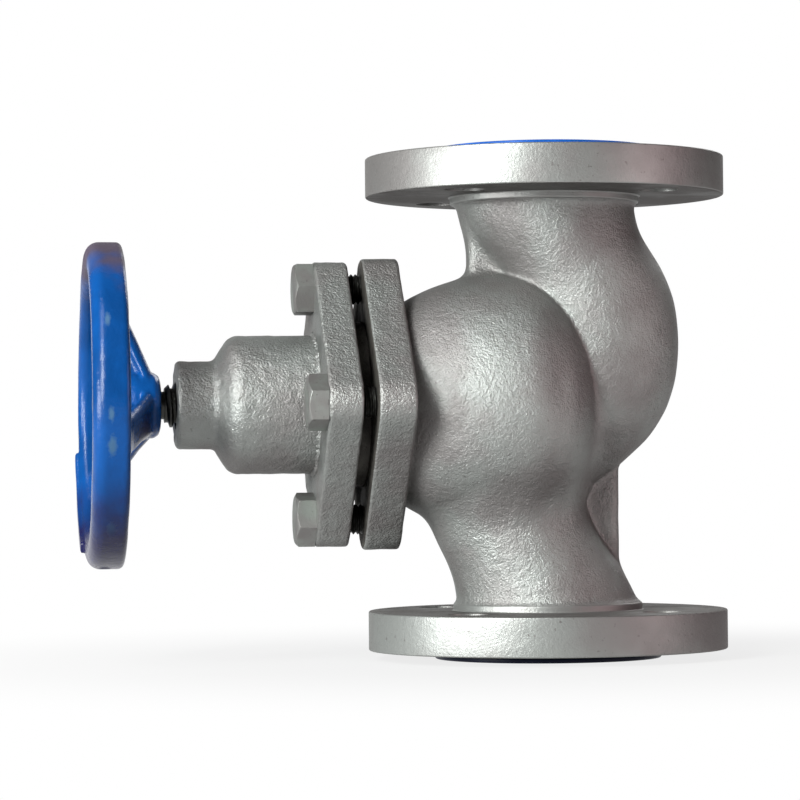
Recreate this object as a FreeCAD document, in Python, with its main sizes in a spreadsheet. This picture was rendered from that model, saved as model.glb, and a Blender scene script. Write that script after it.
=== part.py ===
"""Flanged piston valve, DN 50, closed, standing on its lower end flange.

Frame: +Z runs up the flow axis, the stem points along -X, and the origin is the centre of the
underside of the lower flange cover. Millimetres. Pieces on the stem are drawn in a frame of their
own, whose X axis leaves the flow axis towards the handwheel.
"""
import FreeCAD
import Part
import Sketcher
import math
import os
import re

SIZES = {
    "face_to_face": (230, "between the two raised faces"),
    "port_diameter": (50, "bore of the ports through the end flanges"),
    "flange_diameter": (165, "end flange"),
    "flange_thickness": (20, "end flange with its raised face"),
    "flange_edge": (1, "turned chamfer on the flange rims"),
    "raised_face_diameter": (102, "sealing face"),
    "raised_face_height": (3, "sealing face above the flange"),
    "flange_bolt_circle": (125, "bolt holes of the end flanges"),
    "flange_bolt_hole": (18, "bolt holes of the end flanges"),
    "flange_bolt_count": (4, "bolt holes of each end flange"),
    "collar_diameter": (87, "spot-faced collar behind an end flange"),
    "collar_height": (3.5, "collar above the flange's back"),
    "casting_wall": (8, "wall of the cast passages"),
    "throat_depth": (11.5, "throat of each neck from its collar"),
    "upper_root_radius": (41, "upper neck where it leaves its collar"),
    "upper_throat_shift": (3.2, "throat away from the flow axis"),
    "upper_throat_radius": (40.2, "outside of the throat"),
    "shoulder_depth": (31.5, "where the upper passage swings outwards, from the collar"),
    "shoulder_shift": (16, "shoulder away from the flow axis"),
    "shoulder_radius": (38.6, "outside of the shoulder"),
    "bulge_rise": (27.5, "widest part of the chamber behind the seat"),
    "bulge_shift": (23.7, "bulge away from the flow axis"),
    "bulge_radius": (38, "outside of the bulge"),
    "belly_rise": (0, "belly of the chamber behind the seat"),
    "belly_shift": (23, "belly away from the flow axis"),
    "belly_radius": (34, "outside of the belly"),
    "heel_drop": (20, "heel of the chamber below the stem axis"),
    "heel_shift": (20, "heel away from the flow axis"),
    "heel_radius": (23.5, "outside of the heel"),
    "toe_drop": (37, "closed foot of the chamber below the stem axis"),
    "toe_shift": (17, "toe away from the flow axis"),
    "toe_radius": (6, "flat end of the toe"),
    "lower_root_radius": (41.5, "lower neck where it leaves its collar"),
    "lower_throat_shift": (4, "throat towards the stem side"),
    "lower_throat_radius": (39.8, "outside of the throat"),
    "elbow_depth": (29.5, "elbow of the lower neck from its collar"),
    "elbow_shift": (13.6, "elbow towards the stem side"),
    "elbow_radius": (37.8, "outside of the elbow"),
    "crown_drop": (40, "where the lower neck runs into the dome"),
    "crown_shift": (22.5, "crown towards the stem side"),
    "crown_radius": (37.4, "outside of the crown"),
    "dome_radius": (60, "dome round the ring chamber"),
    "dome_middle": (6, "widest place of the dome along the stem"),
    "dome_back_swell": (28, "curve of the dome's outline away from the stem"),
    "dome_back_reach": (26, "length of that curve along the stem"),
    "dome_front_swell": (145, "curve of the dome's outline towards the stem"),
    "neck_joint": (54, "where the necks meet the chambers, from the stem axis"),
    "chamber_joint": (15, "where the two chambers meet, from the flow axis"),
    "web_thickness": (12, "cast webs in the two corners"),
    "web_edge": (4, "rounding on the outer edge of the webs"),
    "upper_web_reach": (36.5, "upper web from the flow axis"),
    "lower_web_reach": (33.2, "lower web from the flow axis"),
    "chamber_start": (18, "open chamber round the lantern, from the flow axis"),
    "chamber_end": (64, "far end of the open chamber"),
    "seat_bore": (52, "hole under the lower ring"),
    "ring_bore": (66, "bore that holds the rings and the lantern"),
    "ring_shoulder": (12, "seat of the lower ring from the flow axis"),
    "ring_length": (13, "each valve ring"),
    "lantern_length": (38, "lantern bush"),
    "lantern_window_length": (26, "windows of the lantern along the stem"),
    "lantern_window_width": (19, "windows of the lantern across"),
    "lantern_windows": (6, "windows round the lantern"),
    "bore_clearance": (0.05, "radial play of rings and bushes in their bores"),
    "lantern_clearance": (0.5, "radial play round the piston in the lantern"),
    "running_clearance": (0.05, "radial play of running fits"),
    "thrust_clearance": (0.1, "axial play of the spindle's collar"),
    "small_edge": (0.6, "chamfer on small turned edges"),
    "bonnet_bolt_circle": (105, "bolts between bonnet and body"),
    "bonnet_bolt_count": (4, "bolts between bonnet and body"),
    "bonnet_bolt": (14, "thread of the bonnet bolts"),
    "bonnet_bolt_hole": (15.5, "clearance hole in the bonnet flange"),
    "bonnet_bolt_length": (35, "bolt under its head"),
    "bonnet_bolt_flats": (22, "hexagon of the bonnet bolts across flats"),
    "bonnet_bolt_head": (8.8, "height of the bolt heads"),
    "crown_share": (0.96, "round crown of a hexagon as a share of its flats"),
    "crown_slope": (30, "slope of a hexagon's crown, in degrees"),
    "bolt_turn_top": (-25, "where the top bolt's hexagon stopped"),
    "bolt_turn_near": (-7, "where the near bolt's hexagon stopped"),
    "bolt_turn_bottom": (14, "where the bottom bolt's hexagon stopped"),
    "bolt_turn_far": (5, "where the far bolt's hexagon stopped"),
    "body_flange_face": (86, "face of the square body flange from the flow axis"),
    "body_flange_thickness": (17, "square body flange"),
    "body_flange_corner": (14, "corner radius of the body flange"),
    "bonnet_gap": (6.5, "open gap between the two square flanges"),
    "bonnet_flange_thickness": (15.5, "square bonnet flange"),
    "bonnet_flange_corner": (12.5, "corner radius of the bonnet flange"),
    "square_flange_edge": (1.2, "blunt cast edges of the square flanges"),
    "barrel_diameter": (63, "bonnet barrel"),
    "barrel_length": (37, "barrel from the flange to the shoulder"),
    "barrel_root_fillet": (1.5, "fillet between barrel and flange"),
    "bonnet_shoulder_length": (11, "slope from barrel to neck"),
    "bonnet_shoulder_fillet": (7, "rounding of the shoulder"),
    "bonnet_neck_diameter": (40, "bonnet neck"),
    "bonnet_neck_length": (15, "neck beyond the shoulder"),
    "bonnet_neck_edge": (2.5, "rounding of the neck's end"),
    "cavity_bore": (52, "inside of the bonnet"),
    "cavity_margin": (5, "room behind the raised piston"),
    "cavity_taper": (6, "sloping end of the cavity"),
    "piston_diameter": (50, "ground piston"),
    "piston_length": (84, "piston"),
    "piston_overrun": (4, "piston past the lower ring when closed"),
    "piston_edge": (2, "lead-in chamfer of the piston"),
    "socket_diameter": (36, "socket in the piston's back"),
    "socket_depth": (26, "socket in the piston's back"),
    "thrust_disc_diameter": (30, "disc under the spindle's collar"),
    "thrust_disc_thickness": (2, "disc under the spindle's collar"),
    "spindle_collar_diameter": (27, "collar at the spindle's foot"),
    "spindle_collar_length": (8, "collar at the spindle's foot"),
    "spindle_waist_diameter": (18, "spindle inside the split ring"),
    "spindle_waist_length": (24, "waist between collar and thread"),
    "split_ring_length": (6, "split ring over the collar"),
    "split_ring_sweep": (176, "each half of the split ring, in degrees"),
    "split_ring_play": (0.4, "radial play round the spindle's waist"),
    "piston_nut_recess": (1, "ring nut below the piston's back"),
    "piston_nut_bore": (21, "ring nut"),
    "spanner_slot_width": (4, "slots in the ring nut"),
    "spanner_slot_depth": (3, "slots in the ring nut"),
    "spindle_diameter": (20, "spindle over its thread"),
    "spindle_stroke": (40, "travel from closed to open"),
    "thread_showing": (5, "thread in front of the neck when closed"),
    "spindle_nose_diameter": (12.6, "spindle in front of its thread"),
    "nose_length": (2, "round nose between thread and wheel"),
    "wheel_square": (11, "square that carries the wheel"),
    "wheel_flats": (4, "flats of the wheel's square"),
    "wheel_square_play": (0.1, "wheel hole over the square"),
    "wheel_thread": (10, "thread for the wheel nut"),
    "wheel_thread_spare": (1.2, "thread past the wheel nut"),
    "bush_diameter": (28, "threaded bush in the bonnet neck"),
    "bush_flange_diameter": (36, "flange of the bush"),
    "bush_flange_thickness": (5, "flange of the bush"),
    "neck_lip": (4, "lip of the neck in front of the bush"),
    "neck_lip_bore": (21.5, "hole in the lip"),
    "grub_screw_diameter": (3, "screw that locks the bush"),
    "grub_screw_length": (8, "screw that locks the bush"),
    "wheel_diameter": (148, "handwheel"),
    "rim_width": (16.3, "rim along the stem"),
    "rim_height": (13, "rim from its inside to its outside"),
    "rim_front_rounding": (5.5, "front outer edge of the rim"),
    "rim_back_rounding": (2, "back outer edge of the rim"),
    "rim_inner_rounding": (4, "inner edges of the rim"),
    "rim_dish": (17.4, "rim in front of the hub's back"),
    "hub_diameter": (30, "wheel hub at its back"),
    "hub_front_diameter": (26, "wheel hub at its front"),
    "hub_length": (22, "wheel hub"),
    "hub_edge": (2, "rounding of the hub"),
    "spokes": (3, "spokes of the wheel"),
    "spoke_turn": (-5, "first spoke from the top, towards the viewer"),
    "spoke_width": (19, "spoke across"),
    "spoke_knee_radius": (40, "bend of the spokes from the stem axis"),
    "spoke_knee_rise": (16.8, "bend of the spokes in front of the hub's back"),
    "spoke_thickness": (8, "spoke along the stem"),
    "pad_width": (5, "bare pad on the rim, across"),
    "pad_sweep": (54, "bare pad on the rim, in degrees"),
    "pad_height": (2, "bare pad in front of the rim"),
    "pad_turn": (128, "middle of the pad from the first spoke, in degrees"),
    "wheel_washer_diameter": (21, "washer under the wheel nut"),
    "wheel_washer_thickness": (1.8, "washer under the wheel nut"),
    "wheel_nut_flats": (17, "wheel nut across flats"),
    "wheel_nut_height": (8, "wheel nut"),
    "cover_diameter": (104, "plastic cover on a raised face"),
    "cover_thickness": (2, "disc of the cover"),
    "cover_plug_depth": (10, "plug of the cover in the port"),
    "cover_plug_wall": (1.4, "wall of the plug"),
    "cover_play": (0.3, "radial play of the plug in the port"),
}

PLACES = {
    "stem_height": "cover_thickness + face_to_face / 2",
    "flange_depth": "flange_thickness + collar_height",
    "neck_root": "face_to_face / 2 - flange_depth",
    "throat_rise": "neck_root - throat_depth",
    "lower_ring_end": "ring_shoulder + ring_length",
    "lantern_end": "lower_ring_end + lantern_length",
    "upper_ring_end": "lantern_end + ring_length",
    "body_flange_back": "body_flange_face - body_flange_thickness",
    "bonnet_flange_back": "body_flange_face + bonnet_gap",
    "bonnet_flange_front": "bonnet_flange_back + bonnet_flange_thickness",
    "barrel_end": "bonnet_flange_front + barrel_length",
    "bonnet_shoulder_end": "barrel_end + bonnet_shoulder_length",
    "neck_end": "bonnet_shoulder_end + bonnet_neck_length",
    "piston_tip": "ring_shoulder - piston_overrun",
    "piston_back": "piston_tip + piston_length",
    "socket_floor": "piston_back - socket_depth",
    "disc_top": "socket_floor + thrust_disc_thickness",
    "collar_start": "disc_top + thrust_clearance",
    "collar_end": "collar_start + spindle_collar_length",
    "split_ring_start": "collar_end + thrust_clearance",
    "split_ring_end": "split_ring_start + split_ring_length",
    "piston_nut_end": "piston_back - piston_nut_recess",
    "thread_start": "collar_end + spindle_waist_length",
    "thread_end": "neck_end + thread_showing",
    "wheel_back": "thread_end + nose_length",
    "hub_front": "wheel_back + hub_length",
    "washer_front": "hub_front + wheel_washer_thickness",
    "wheel_nut_front": "washer_front + wheel_nut_height",
    "spindle_end": "wheel_nut_front + wheel_thread_spare",
    "rim_back": "wheel_back + rim_dish",
    "rim_front": "rim_back + rim_width",
    "rim_inside": "wheel_diameter / 2 - rim_height",
    "cavity_end": "piston_back + spindle_stroke + cavity_margin",
    "bush_seat": "cavity_end + bush_flange_thickness",
    "bush_end": "neck_end - neck_lip",
    "grub_screw_place": "(bush_diameter + bush_flange_diameter) / 4",
    "grub_screw_end": "cavity_end + grub_screw_length",
}

WORD = re.compile(r"[a-z][a-z_0-9]*")
WHOLE_TURN = 360
TINY = 1e-4

doc = FreeCAD.newDocument("piston_valve")
sheet = doc.addObject("Spreadsheet::Sheet", "sizes")
for row, (alias, (value, meaning)) in enumerate(SIZES.items(), start=1):
    sheet.set(f"A{row}", alias)
    sheet.set(f"B{row}", str(value))
    sheet.set(f"C{row}", meaning)
    sheet.setAlias(f"B{row}", alias)
doc.recompute()


def formula(text):
    """The text with each named size written as a cell of the sheet and each named place spelt out."""
    def spell(match):
        word = match.group()
        if word in PLACES:
            return "(" + formula(PLACES[word]) + ")"
        return "sizes." + word if word in SIZES else word
    return WORD.sub(spell, text)


def number(text):
    """The present value of a formula."""
    value = sheet.evalExpression(formula(text))
    return float(getattr(value, "Value", value))


def bind(thing, prop, text):
    """Tie a property to a formula of the sheet."""
    thing.setExpression(prop, formula(text))


def origin_part(body, role):
    """An origin plane or axis of a body."""
    return next(part for part in body.Origin.OriginFeatures if part.Role == role)


def sketch_on(body, name, plane, lift="0"):
    """An empty sketch on an origin plane of its body, lifted off it along its normal."""
    sketch = body.newObject("Sketcher::SketchObject", name)
    sketch.AttachmentSupport = [(origin_part(body, plane), "")]
    sketch.MapMode = "FlatFace"
    bind(sketch, ".AttachmentOffset.Base.z", lift)
    return sketch


def side_between(start, end, swell):
    """A straight side, or an arc of a radius that swells away from the X axis."""
    if not swell:
        return Part.LineSegment(start, end)
    chord = end - start
    across = FreeCAD.Vector(-chord.y, chord.x, 0).normalize()
    if across.y < 0:
        across = -across
    height = swell - math.sqrt(swell ** 2 - chord.Length ** 2 / 4)
    return Part.Arc(start, (start + end) / 2 + across * height, end)


def outline(body, name, plane, corners, lift="0", swells=None):
    """A closed outline, each corner placed by two formulas.

    Its sides are straight, but swells gives a radius for those that are arcs, each under the number
    of its first corner.
    """
    swells = swells or {}
    sketch = sketch_on(body, name, plane, lift)
    places = [FreeCAD.Vector(number(across), number(up), 0) for across, up in corners]
    count = len(places)
    radii = {i: number(text) for i, text in swells.items()}
    sides = [side_between(places[i], places[(i + 1) % count], radii.get(i)) for i in range(count)]
    sketch.addGeometry(sides, False)
    firsts = [1 if (sketch.getPoint(i, 1) - places[i]).Length < TINY else 2 for i in range(count)]
    for i, first in enumerate(firsts):
        ahead = (i + 1) % count
        sketch.addConstraint(Sketcher.Constraint("Coincident", i, 3 - first, ahead, firsts[ahead]))
    for i, (across, up) in enumerate(corners):
        for kind, text, value in (("DistanceX", across, places[i].x), ("DistanceY", up, places[i].y)):
            index = sketch.addConstraint(Sketcher.Constraint(kind, -1, 1, i, firsts[i], value))
            bind(sketch, f"Constraints[{index}]", text)
    for i, text in swells.items():
        index = sketch.addConstraint(Sketcher.Constraint("Radius", i, radii[i]))
        bind(sketch, f"Constraints[{index}]", text)
    return sketch


def ring_sketch(body, name, plane, radius, across="0", up="0", lift="0"):
    """A sketch with one circle."""
    sketch = sketch_on(body, name, plane, lift)
    middle = FreeCAD.Vector(number(across), number(up), 0)
    sketch.addGeometry(Part.Circle(middle, FreeCAD.Vector(0, 0, 1), number(radius)), False)
    for kind, text, value in (("DistanceX", across, middle.x), ("DistanceY", up, middle.y)):
        index = sketch.addConstraint(Sketcher.Constraint(kind, -1, 1, 0, 3, value))
        bind(sketch, f"Constraints[{index}]", text)
    index = sketch.addConstraint(Sketcher.Constraint("Radius", 0, number(radius)))
    bind(sketch, f"Constraints[{index}]", radius)
    return sketch


def new_body(label):
    """An empty body that lies in the row frame."""
    body = doc.addObject("PartDesign::Body", label)
    body.Label = label
    return body


def stem_body(label):
    """An empty body whose X axis runs out along the stem."""
    body = new_body(label)
    body.Placement = FreeCAD.Placement(FreeCAD.Vector(), FreeCAD.Rotation(FreeCAD.Vector(0, 0, 1), 180))
    bind(body, ".Placement.Base.z", "stem_height")
    return body


def revolve(body, name, sketch, axis="H_Axis", kind="PartDesign::Revolution"):
    """Turn a sketch a whole turn about one of its axes."""
    turned = body.newObject(kind, name)
    turned.Profile = (sketch, [""])
    turned.ReferenceAxis = (sketch, [axis])
    turned.Angle = WHOLE_TURN
    return turned


def pad(body, name, sketch, length, symmetric=False, backwards=False, kind="PartDesign::Pad"):
    """Push a sketch out, or cut it away."""
    pushed = body.newObject(kind, name)
    pushed.Profile = (sketch, [""])
    pushed.SideType = "Symmetric" if symmetric else "One side"
    pushed.Reversed = backwards
    bind(pushed, "Length", length)
    return pushed


def cut(body, name, sketch, length, symmetric=False, backwards=False):
    """Cut a sketch away and make sure that it met the solid."""
    doc.recompute()
    before = body.Shape.Volume
    pocket = pad(body, name, sketch, length, symmetric, backwards, "PartDesign::Pocket")
    doc.recompute()
    if not body.Shape.Volume < before - TINY:
        raise RuntimeError(f"{name} cuts nothing")
    return pocket


def polar(body, name, feature, count, axis="X_Axis"):
    """Repeat a feature round an axis of the body."""
    pattern = body.newObject("PartDesign::PolarPattern", name)
    pattern.Originals = [feature]
    pattern.Axis = (origin_part(body, axis), [""])
    pattern.Angle = WHOLE_TURN
    bind(pattern, "Occurrences", count)
    body.Tip = pattern
    return pattern


def around(radius, turn):
    """The two formulas of a point at a radius and an angle in degrees."""
    return f"({radius}) * cos({turn})", f"({radius}) * sin({turn})"


def edges_where(body, wanted):
    """Names of the edges of the newest shape of a body for which wanted is true."""
    doc.recompute()
    return [f"Edge{i}" for i, edge in enumerate(body.Tip.Shape.Edges, start=1) if wanted(edge)]


def soften(body, name, wanted, size, kind="Fillet"):
    """Round or chamfer the edges that are wanted."""
    names = edges_where(body, wanted)
    if not names:
        raise RuntimeError(f"{name} finds no edge")
    rounded = body.newObject("PartDesign::" + kind, name)
    rounded.Base = (rounded.BaseFeature, names)
    bind(rounded, "Radius" if kind == "Fillet" else "Size", size)
    return rounded


def ring_edge(along, radius):
    """A test for the circular edge round the stem at a place and a radius."""
    place, reach = number(along), number(radius)

    def wanted(edge):
        curve = edge.Curve
        if not isinstance(curve, Part.Circle):
            return False
        centre = curve.Center
        on_axis = math.hypot(centre.y, centre.z) < TINY
        return on_axis and abs(centre.x - place) < TINY and abs(curve.Radius - reach) < TINY
    return wanted


def any_of(*tests):
    """A test that is true where any of the tests is."""
    return lambda edge: any(test(edge) for test in tests)


def along_stem(body_length):
    """A test for straight edges that run along the stem for a given length."""
    reach = number(body_length)

    def wanted(edge):
        if not isinstance(edge.Curve, Part.Line):
            return False
        first, last = edge.Vertexes[0].Point, edge.Vertexes[-1].Point
        return abs(abs(first.x - last.x) - reach) < TINY and abs(edge.Length - reach) < TINY
    return wanted


def wheel_body(label):
    """A stem body turned so that its Y axis meets the first spoke."""
    body = stem_body(label)
    spin = FreeCAD.Rotation(FreeCAD.Vector(1, 0, 0), 90 - number("spoke_turn"))
    body.Placement = FreeCAD.Placement(body.Placement.Base, body.Placement.Rotation.multiply(spin))
    return body


def turned(label, corners, frame=stem_body):
    """A piece turned from one closed outline of (along the stem, radius) corners."""
    body = frame(label)
    revolve(body, label + "_turning", outline(body, label + "_outline", "XY_Plane", corners))
    return body


def sleeve(label, start, end, inside, outside, edge="small_edge"):
    """A plain tube on the stem with chamfered outer edges."""
    return turned(label, [
        (start, inside),
        (start, f"{outside} - {edge}"),
        (f"{start} + {edge}", outside),
        (f"{end} - {edge}", outside),
        (end, f"{outside} - {edge}"),
        (end, inside),
    ])


def square_flange(body, name, start, thickness, corner):
    """A square plate across the stem, on its corner, with a rounded corner round each bolt."""
    reach = f"bonnet_bolt_circle / 2 + {corner} * sqrt(2)"
    corners = [(reach, "0"), ("0", reach), (f"-({reach})", "0"), ("0", f"-({reach})")]
    sketch = outline(body, name + "_square", "YZ_Plane", corners, start)
    pad(body, name + "_plate", sketch, thickness)
    soften(body, name + "_corners", along_stem(thickness), corner)
    front, back = number(f"{start} + {thickness}"), number(start)

    def rim(edge):
        box = edge.BoundBox
        return box.XLength < TINY and min(abs(box.XMin - front), abs(box.XMin - back)) < TINY
    soften(body, name + "_edges", rim, "square_flange_edge", "Chamfer")


def bonnet_bolt_holes(body, name, diameter, start, depth):
    """Four holes on the bonnet's bolt circle."""
    sketch = ring_sketch(body, name + "_circle", "YZ_Plane", diameter + " / 2",
                         "bonnet_bolt_circle / 2", "0", start)
    hole = cut(body, name + "_hole", sketch, depth, backwards=True)
    polar(body, name + "s", hole, "bonnet_bolt_count")


def upright(kind, name, across="0", height="0"):
    """A primitive that stands upright in the row frame."""
    thing = doc.addObject(kind, name)
    bind(thing, ".Placement.Base.x", across)
    bind(thing, ".Placement.Base.z", height)
    return thing


def on_stem(kind, name, along):
    """A primitive on the stem axis, pointing at the handwheel."""
    thing = doc.addObject(kind, name)
    turn = FreeCAD.Rotation(FreeCAD.Vector(0, 1, 0), -90)
    thing.Placement = FreeCAD.Placement(FreeCAD.Vector(), turn)
    bind(thing, ".Placement.Base.x", f"-({along})")
    bind(thing, ".Placement.Base.z", "stem_height")
    return thing


def stem_cylinder(name, radius, start, end):
    """A cylinder along the stem."""
    rod = on_stem("Part::Cylinder", name, start)
    bind(rod, "Radius", radius)
    bind(rod, "Height", f"{end} - ({start})")
    return rod


def fused(name, things):
    """Several solids as one."""
    whole = doc.addObject("Part::MultiFuse", name)
    whole.Shapes = things
    whole.Refine = True
    return whole


def passage(name, stations, smooth=True):
    """A cast passage through level circles of (rise over the stem, shift, radius)."""
    loft = doc.addObject("Part::Loft", name)
    circles = []
    for i, (rise, shift, radius) in enumerate(stations, start=1):
        circle = upright("Part::Circle", f"{name}_circle_{i}", shift, f"stem_height + {rise}")
        bind(circle, "Radius", radius)
        circles.append(circle)
    loft.Sections = circles
    loft.Solid = True
    loft.Ruled = not smooth
    return loft


def swollen(along, wall):
    """The radius of the dome at a place on its front curve, less a wall."""
    swell, offset = f"(dome_front_swell - {wall})", f"({along} - dome_middle)"
    return f"dome_radius - dome_front_swell + sqrt({swell} * {swell} - {offset} * {offset})"


def dome():
    """The dome round the ring chamber, turned on the stem from two arcs that meet at its widest."""
    swell, reach = "dome_back_swell", "dome_back_reach"
    back = "dome_middle - dome_back_reach"
    back_radius = f"dome_radius - {swell} + sqrt({swell} * {swell} - {reach} * {reach})"
    body = stem_body("dome")
    revolve(body, "dome_turning", outline(body, "dome_outline", "XY_Plane", [
        (back, "0"),
        (back, back_radius),
        ("dome_middle", "dome_radius"),
        ("body_flange_back", swollen("body_flange_back", "0")),
        ("body_flange_back", "0"),
    ], swells={1: swell, 2: "dome_front_swell"}))
    return body


def ring_chamber():
    """The open chamber round the lantern, one wall inside the dome."""
    body = stem_body("ring_chamber")
    revolve(body, "ring_chamber_turning", outline(body, "ring_chamber_outline", "XY_Plane", [
        ("chamber_start", "0"),
        ("chamber_start", swollen("chamber_start", "casting_wall")),
        ("chamber_end", swollen("chamber_end", "casting_wall")),
        ("chamber_end", "0"),
    ], swells={1: "dome_front_swell - casting_wall"}))
    return body


def end_flange(label, height, upside_down):
    """An end flange with its raised face, its port, its bolt holes and the collar behind it."""
    body = new_body(label)
    rim, port, back = "flange_diameter / 2", "port_diameter / 2", "flange_thickness"
    revolve(body, label + "_turning", outline(body, label + "_outline", "XZ_Plane", [
        (port, "0"),
        ("raised_face_diameter / 2", "0"),
        ("raised_face_diameter / 2", "raised_face_height"),
        (rim + " - flange_edge", "raised_face_height"),
        (rim, "raised_face_height + flange_edge"),
        (rim, back + " - flange_edge"),
        (rim + " - flange_edge", back),
        ("collar_diameter / 2", back),
        ("collar_diameter / 2", "flange_depth"),
        (port, "flange_depth"),
    ]), "V_Axis")
    across, over = around("flange_bolt_circle / 2", f"{WHOLE_TURN} / flange_bolt_count / 2")
    circle = ring_sketch(body, label + "_circle", "XY_Plane", "flange_bolt_hole / 2", across, over, back)
    hole = cut(body, label + "_hole", circle, back)
    polar(body, label + "_holes", hole, "flange_bolt_count", "Z_Axis")
    if upside_down:
        turn = FreeCAD.Rotation(FreeCAD.Vector(1, 0, 0), 180)
        body.Placement = FreeCAD.Placement(FreeCAD.Vector(), turn)
    bind(body, ".Placement.Base.z", height)
    return body


def body_flange():
    """The square flange that carries the bonnet, with the ring bore and four tapped holes."""
    body = stem_body("body_flange")
    square_flange(body, "body_plate", "body_flange_back", "body_flange_thickness", "body_flange_corner")
    mouth = ring_sketch(body, "ring_mouth", "YZ_Plane", "ring_bore / 2", lift="body_flange_back")
    cut(body, "ring_mouth_cut", mouth, "body_flange_thickness", backwards=True)
    bonnet_bolt_holes(body, "bonnet_bolt_tap", "(bonnet_bolt + bore_clearance * 2)", "body_flange_back",
                      "body_flange_thickness")
    return body


def web(name, outer, inner, bottom, top):
    """An upright cast web in the plane of the stem, rounded along its free edge."""
    plate = doc.addObject("Part::Box", name + "_plate")
    bind(plate, "Length", f"abs(({outer}) - ({inner}))")
    bind(plate, "Width", "web_thickness")
    bind(plate, "Height", f"({top}) - ({bottom})")
    bind(plate, ".Placement.Base.x", f"min({outer}; {inner})")
    bind(plate, ".Placement.Base.y", "-web_thickness / 2")
    bind(plate, ".Placement.Base.z", f"stem_height + {bottom}")
    doc.recompute()
    free_edge, radius = number(outer), number("web_edge")
    rounded = doc.addObject("Part::Fillet", name)
    rounded.Base = plate
    rounded.Edges = [
        (i, radius, radius) for i, edge in enumerate(plate.Shape.Edges, start=1)
        if edge.BoundBox.ZLength > edge.BoundBox.YLength + edge.BoundBox.XLength
        and abs(edge.BoundBox.XMin - free_edge) < TINY
    ]
    return rounded


def casting_block(name, low, high, start="-flange_diameter / 2", end="flange_diameter / 2"):
    """A block round the stretch of the casting between two heights over the stem."""
    block = doc.addObject("Part::Box", name)
    bind(block, "Length", f"({end}) - ({start})")
    bind(block, "Width", "flange_diameter")
    bind(block, "Height", f"({high}) - ({low})")
    bind(block, ".Placement.Base.x", start)
    bind(block, ".Placement.Base.y", "-flange_diameter / 2")
    bind(block, ".Placement.Base.z", f"stem_height + {low}")
    return block


def casting():
    """The body casting between its flanges, in four stretches that meet face to face.

    The medium comes up the lower neck into the ring chamber, passes the seat into the chamber
    behind it and leaves through the upper neck.
    """
    upper_stations = [
        ("throat_rise", "upper_throat_shift", "upper_throat_radius"),
        ("neck_root - shoulder_depth", "shoulder_shift", "shoulder_radius"),
        ("bulge_rise", "bulge_shift", "bulge_radius"),
        ("belly_rise", "belly_shift", "belly_radius"),
        ("-heel_drop", "heel_shift", "heel_radius"),
    ]
    lower_stations = [
        ("-throat_rise", "-lower_throat_shift", "lower_throat_radius"),
        ("-(neck_root - elbow_depth)", "-elbow_shift", "elbow_radius"),
        ("-crown_drop", "-crown_shift", "crown_radius"),
    ]
    toe = ("-toe_drop", "toe_shift", "toe_radius")
    outside = fused("casting_outside", [
        passage("upper_neck", [("neck_root", "0", "upper_root_radius")] + upper_stations + [toe]),
        passage("lower_neck", [("-neck_root", "0", "lower_root_radius")] + lower_stations),
        dome(),
        web("upper_web", "-upper_web_reach", "0", "0", "neck_root"),
        web("lower_web", "lower_web_reach", "0", "-neck_root", "0"),
    ])

    def hollow(name, port, stations):
        inner = [(rise, shift, radius + " - casting_wall") for rise, shift, radius in stations]
        return passage(name, [(port, "0", "port_diameter / 2")] + inner, smooth=False)

    upper_passage = hollow("upper_passage", "neck_root", upper_stations)
    lower_passage = hollow("lower_passage", "-neck_root", lower_stations)
    seat_hole = stem_cylinder("seat_hole", "seat_bore / 2", "-belly_shift", "ring_shoulder")
    bore = stem_cylinder("ring_bore_cut", "ring_bore / 2", "ring_shoulder", "body_flange_back")
    stretches = [
        ("body_upper_neck", casting_block("upper_block", "neck_joint", "neck_root"), [upper_passage]),
        ("body_lower_neck", casting_block("lower_block", "-neck_root", "-neck_joint"), [lower_passage]),
        ("body_seat_side", casting_block("seat_block", "-neck_joint", "neck_joint", "-chamber_joint"),
         [upper_passage, lower_passage, seat_hole, bore]),
        ("body_ring_side", casting_block("ring_block", "-neck_joint", "neck_joint", end="-chamber_joint"),
         [lower_passage, ring_chamber(), bore]),
    ]
    return [stretch(label, outside, block, hollows) for label, block, hollows in stretches]


def stretch(label, outside, block, hollows):
    """The share of the casting inside a block, with its hollows cut away one after the other."""
    part = doc.addObject("Part::Common", label + "_outside")
    part.Base = outside
    part.Tool = block
    for tool in hollows:
        opened = doc.addObject("Part::Cut", f"{label}_without_{tool.Name}")
        opened.Base = part
        opened.Tool = tool
        part = opened
    part.Label = label
    return part


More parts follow.
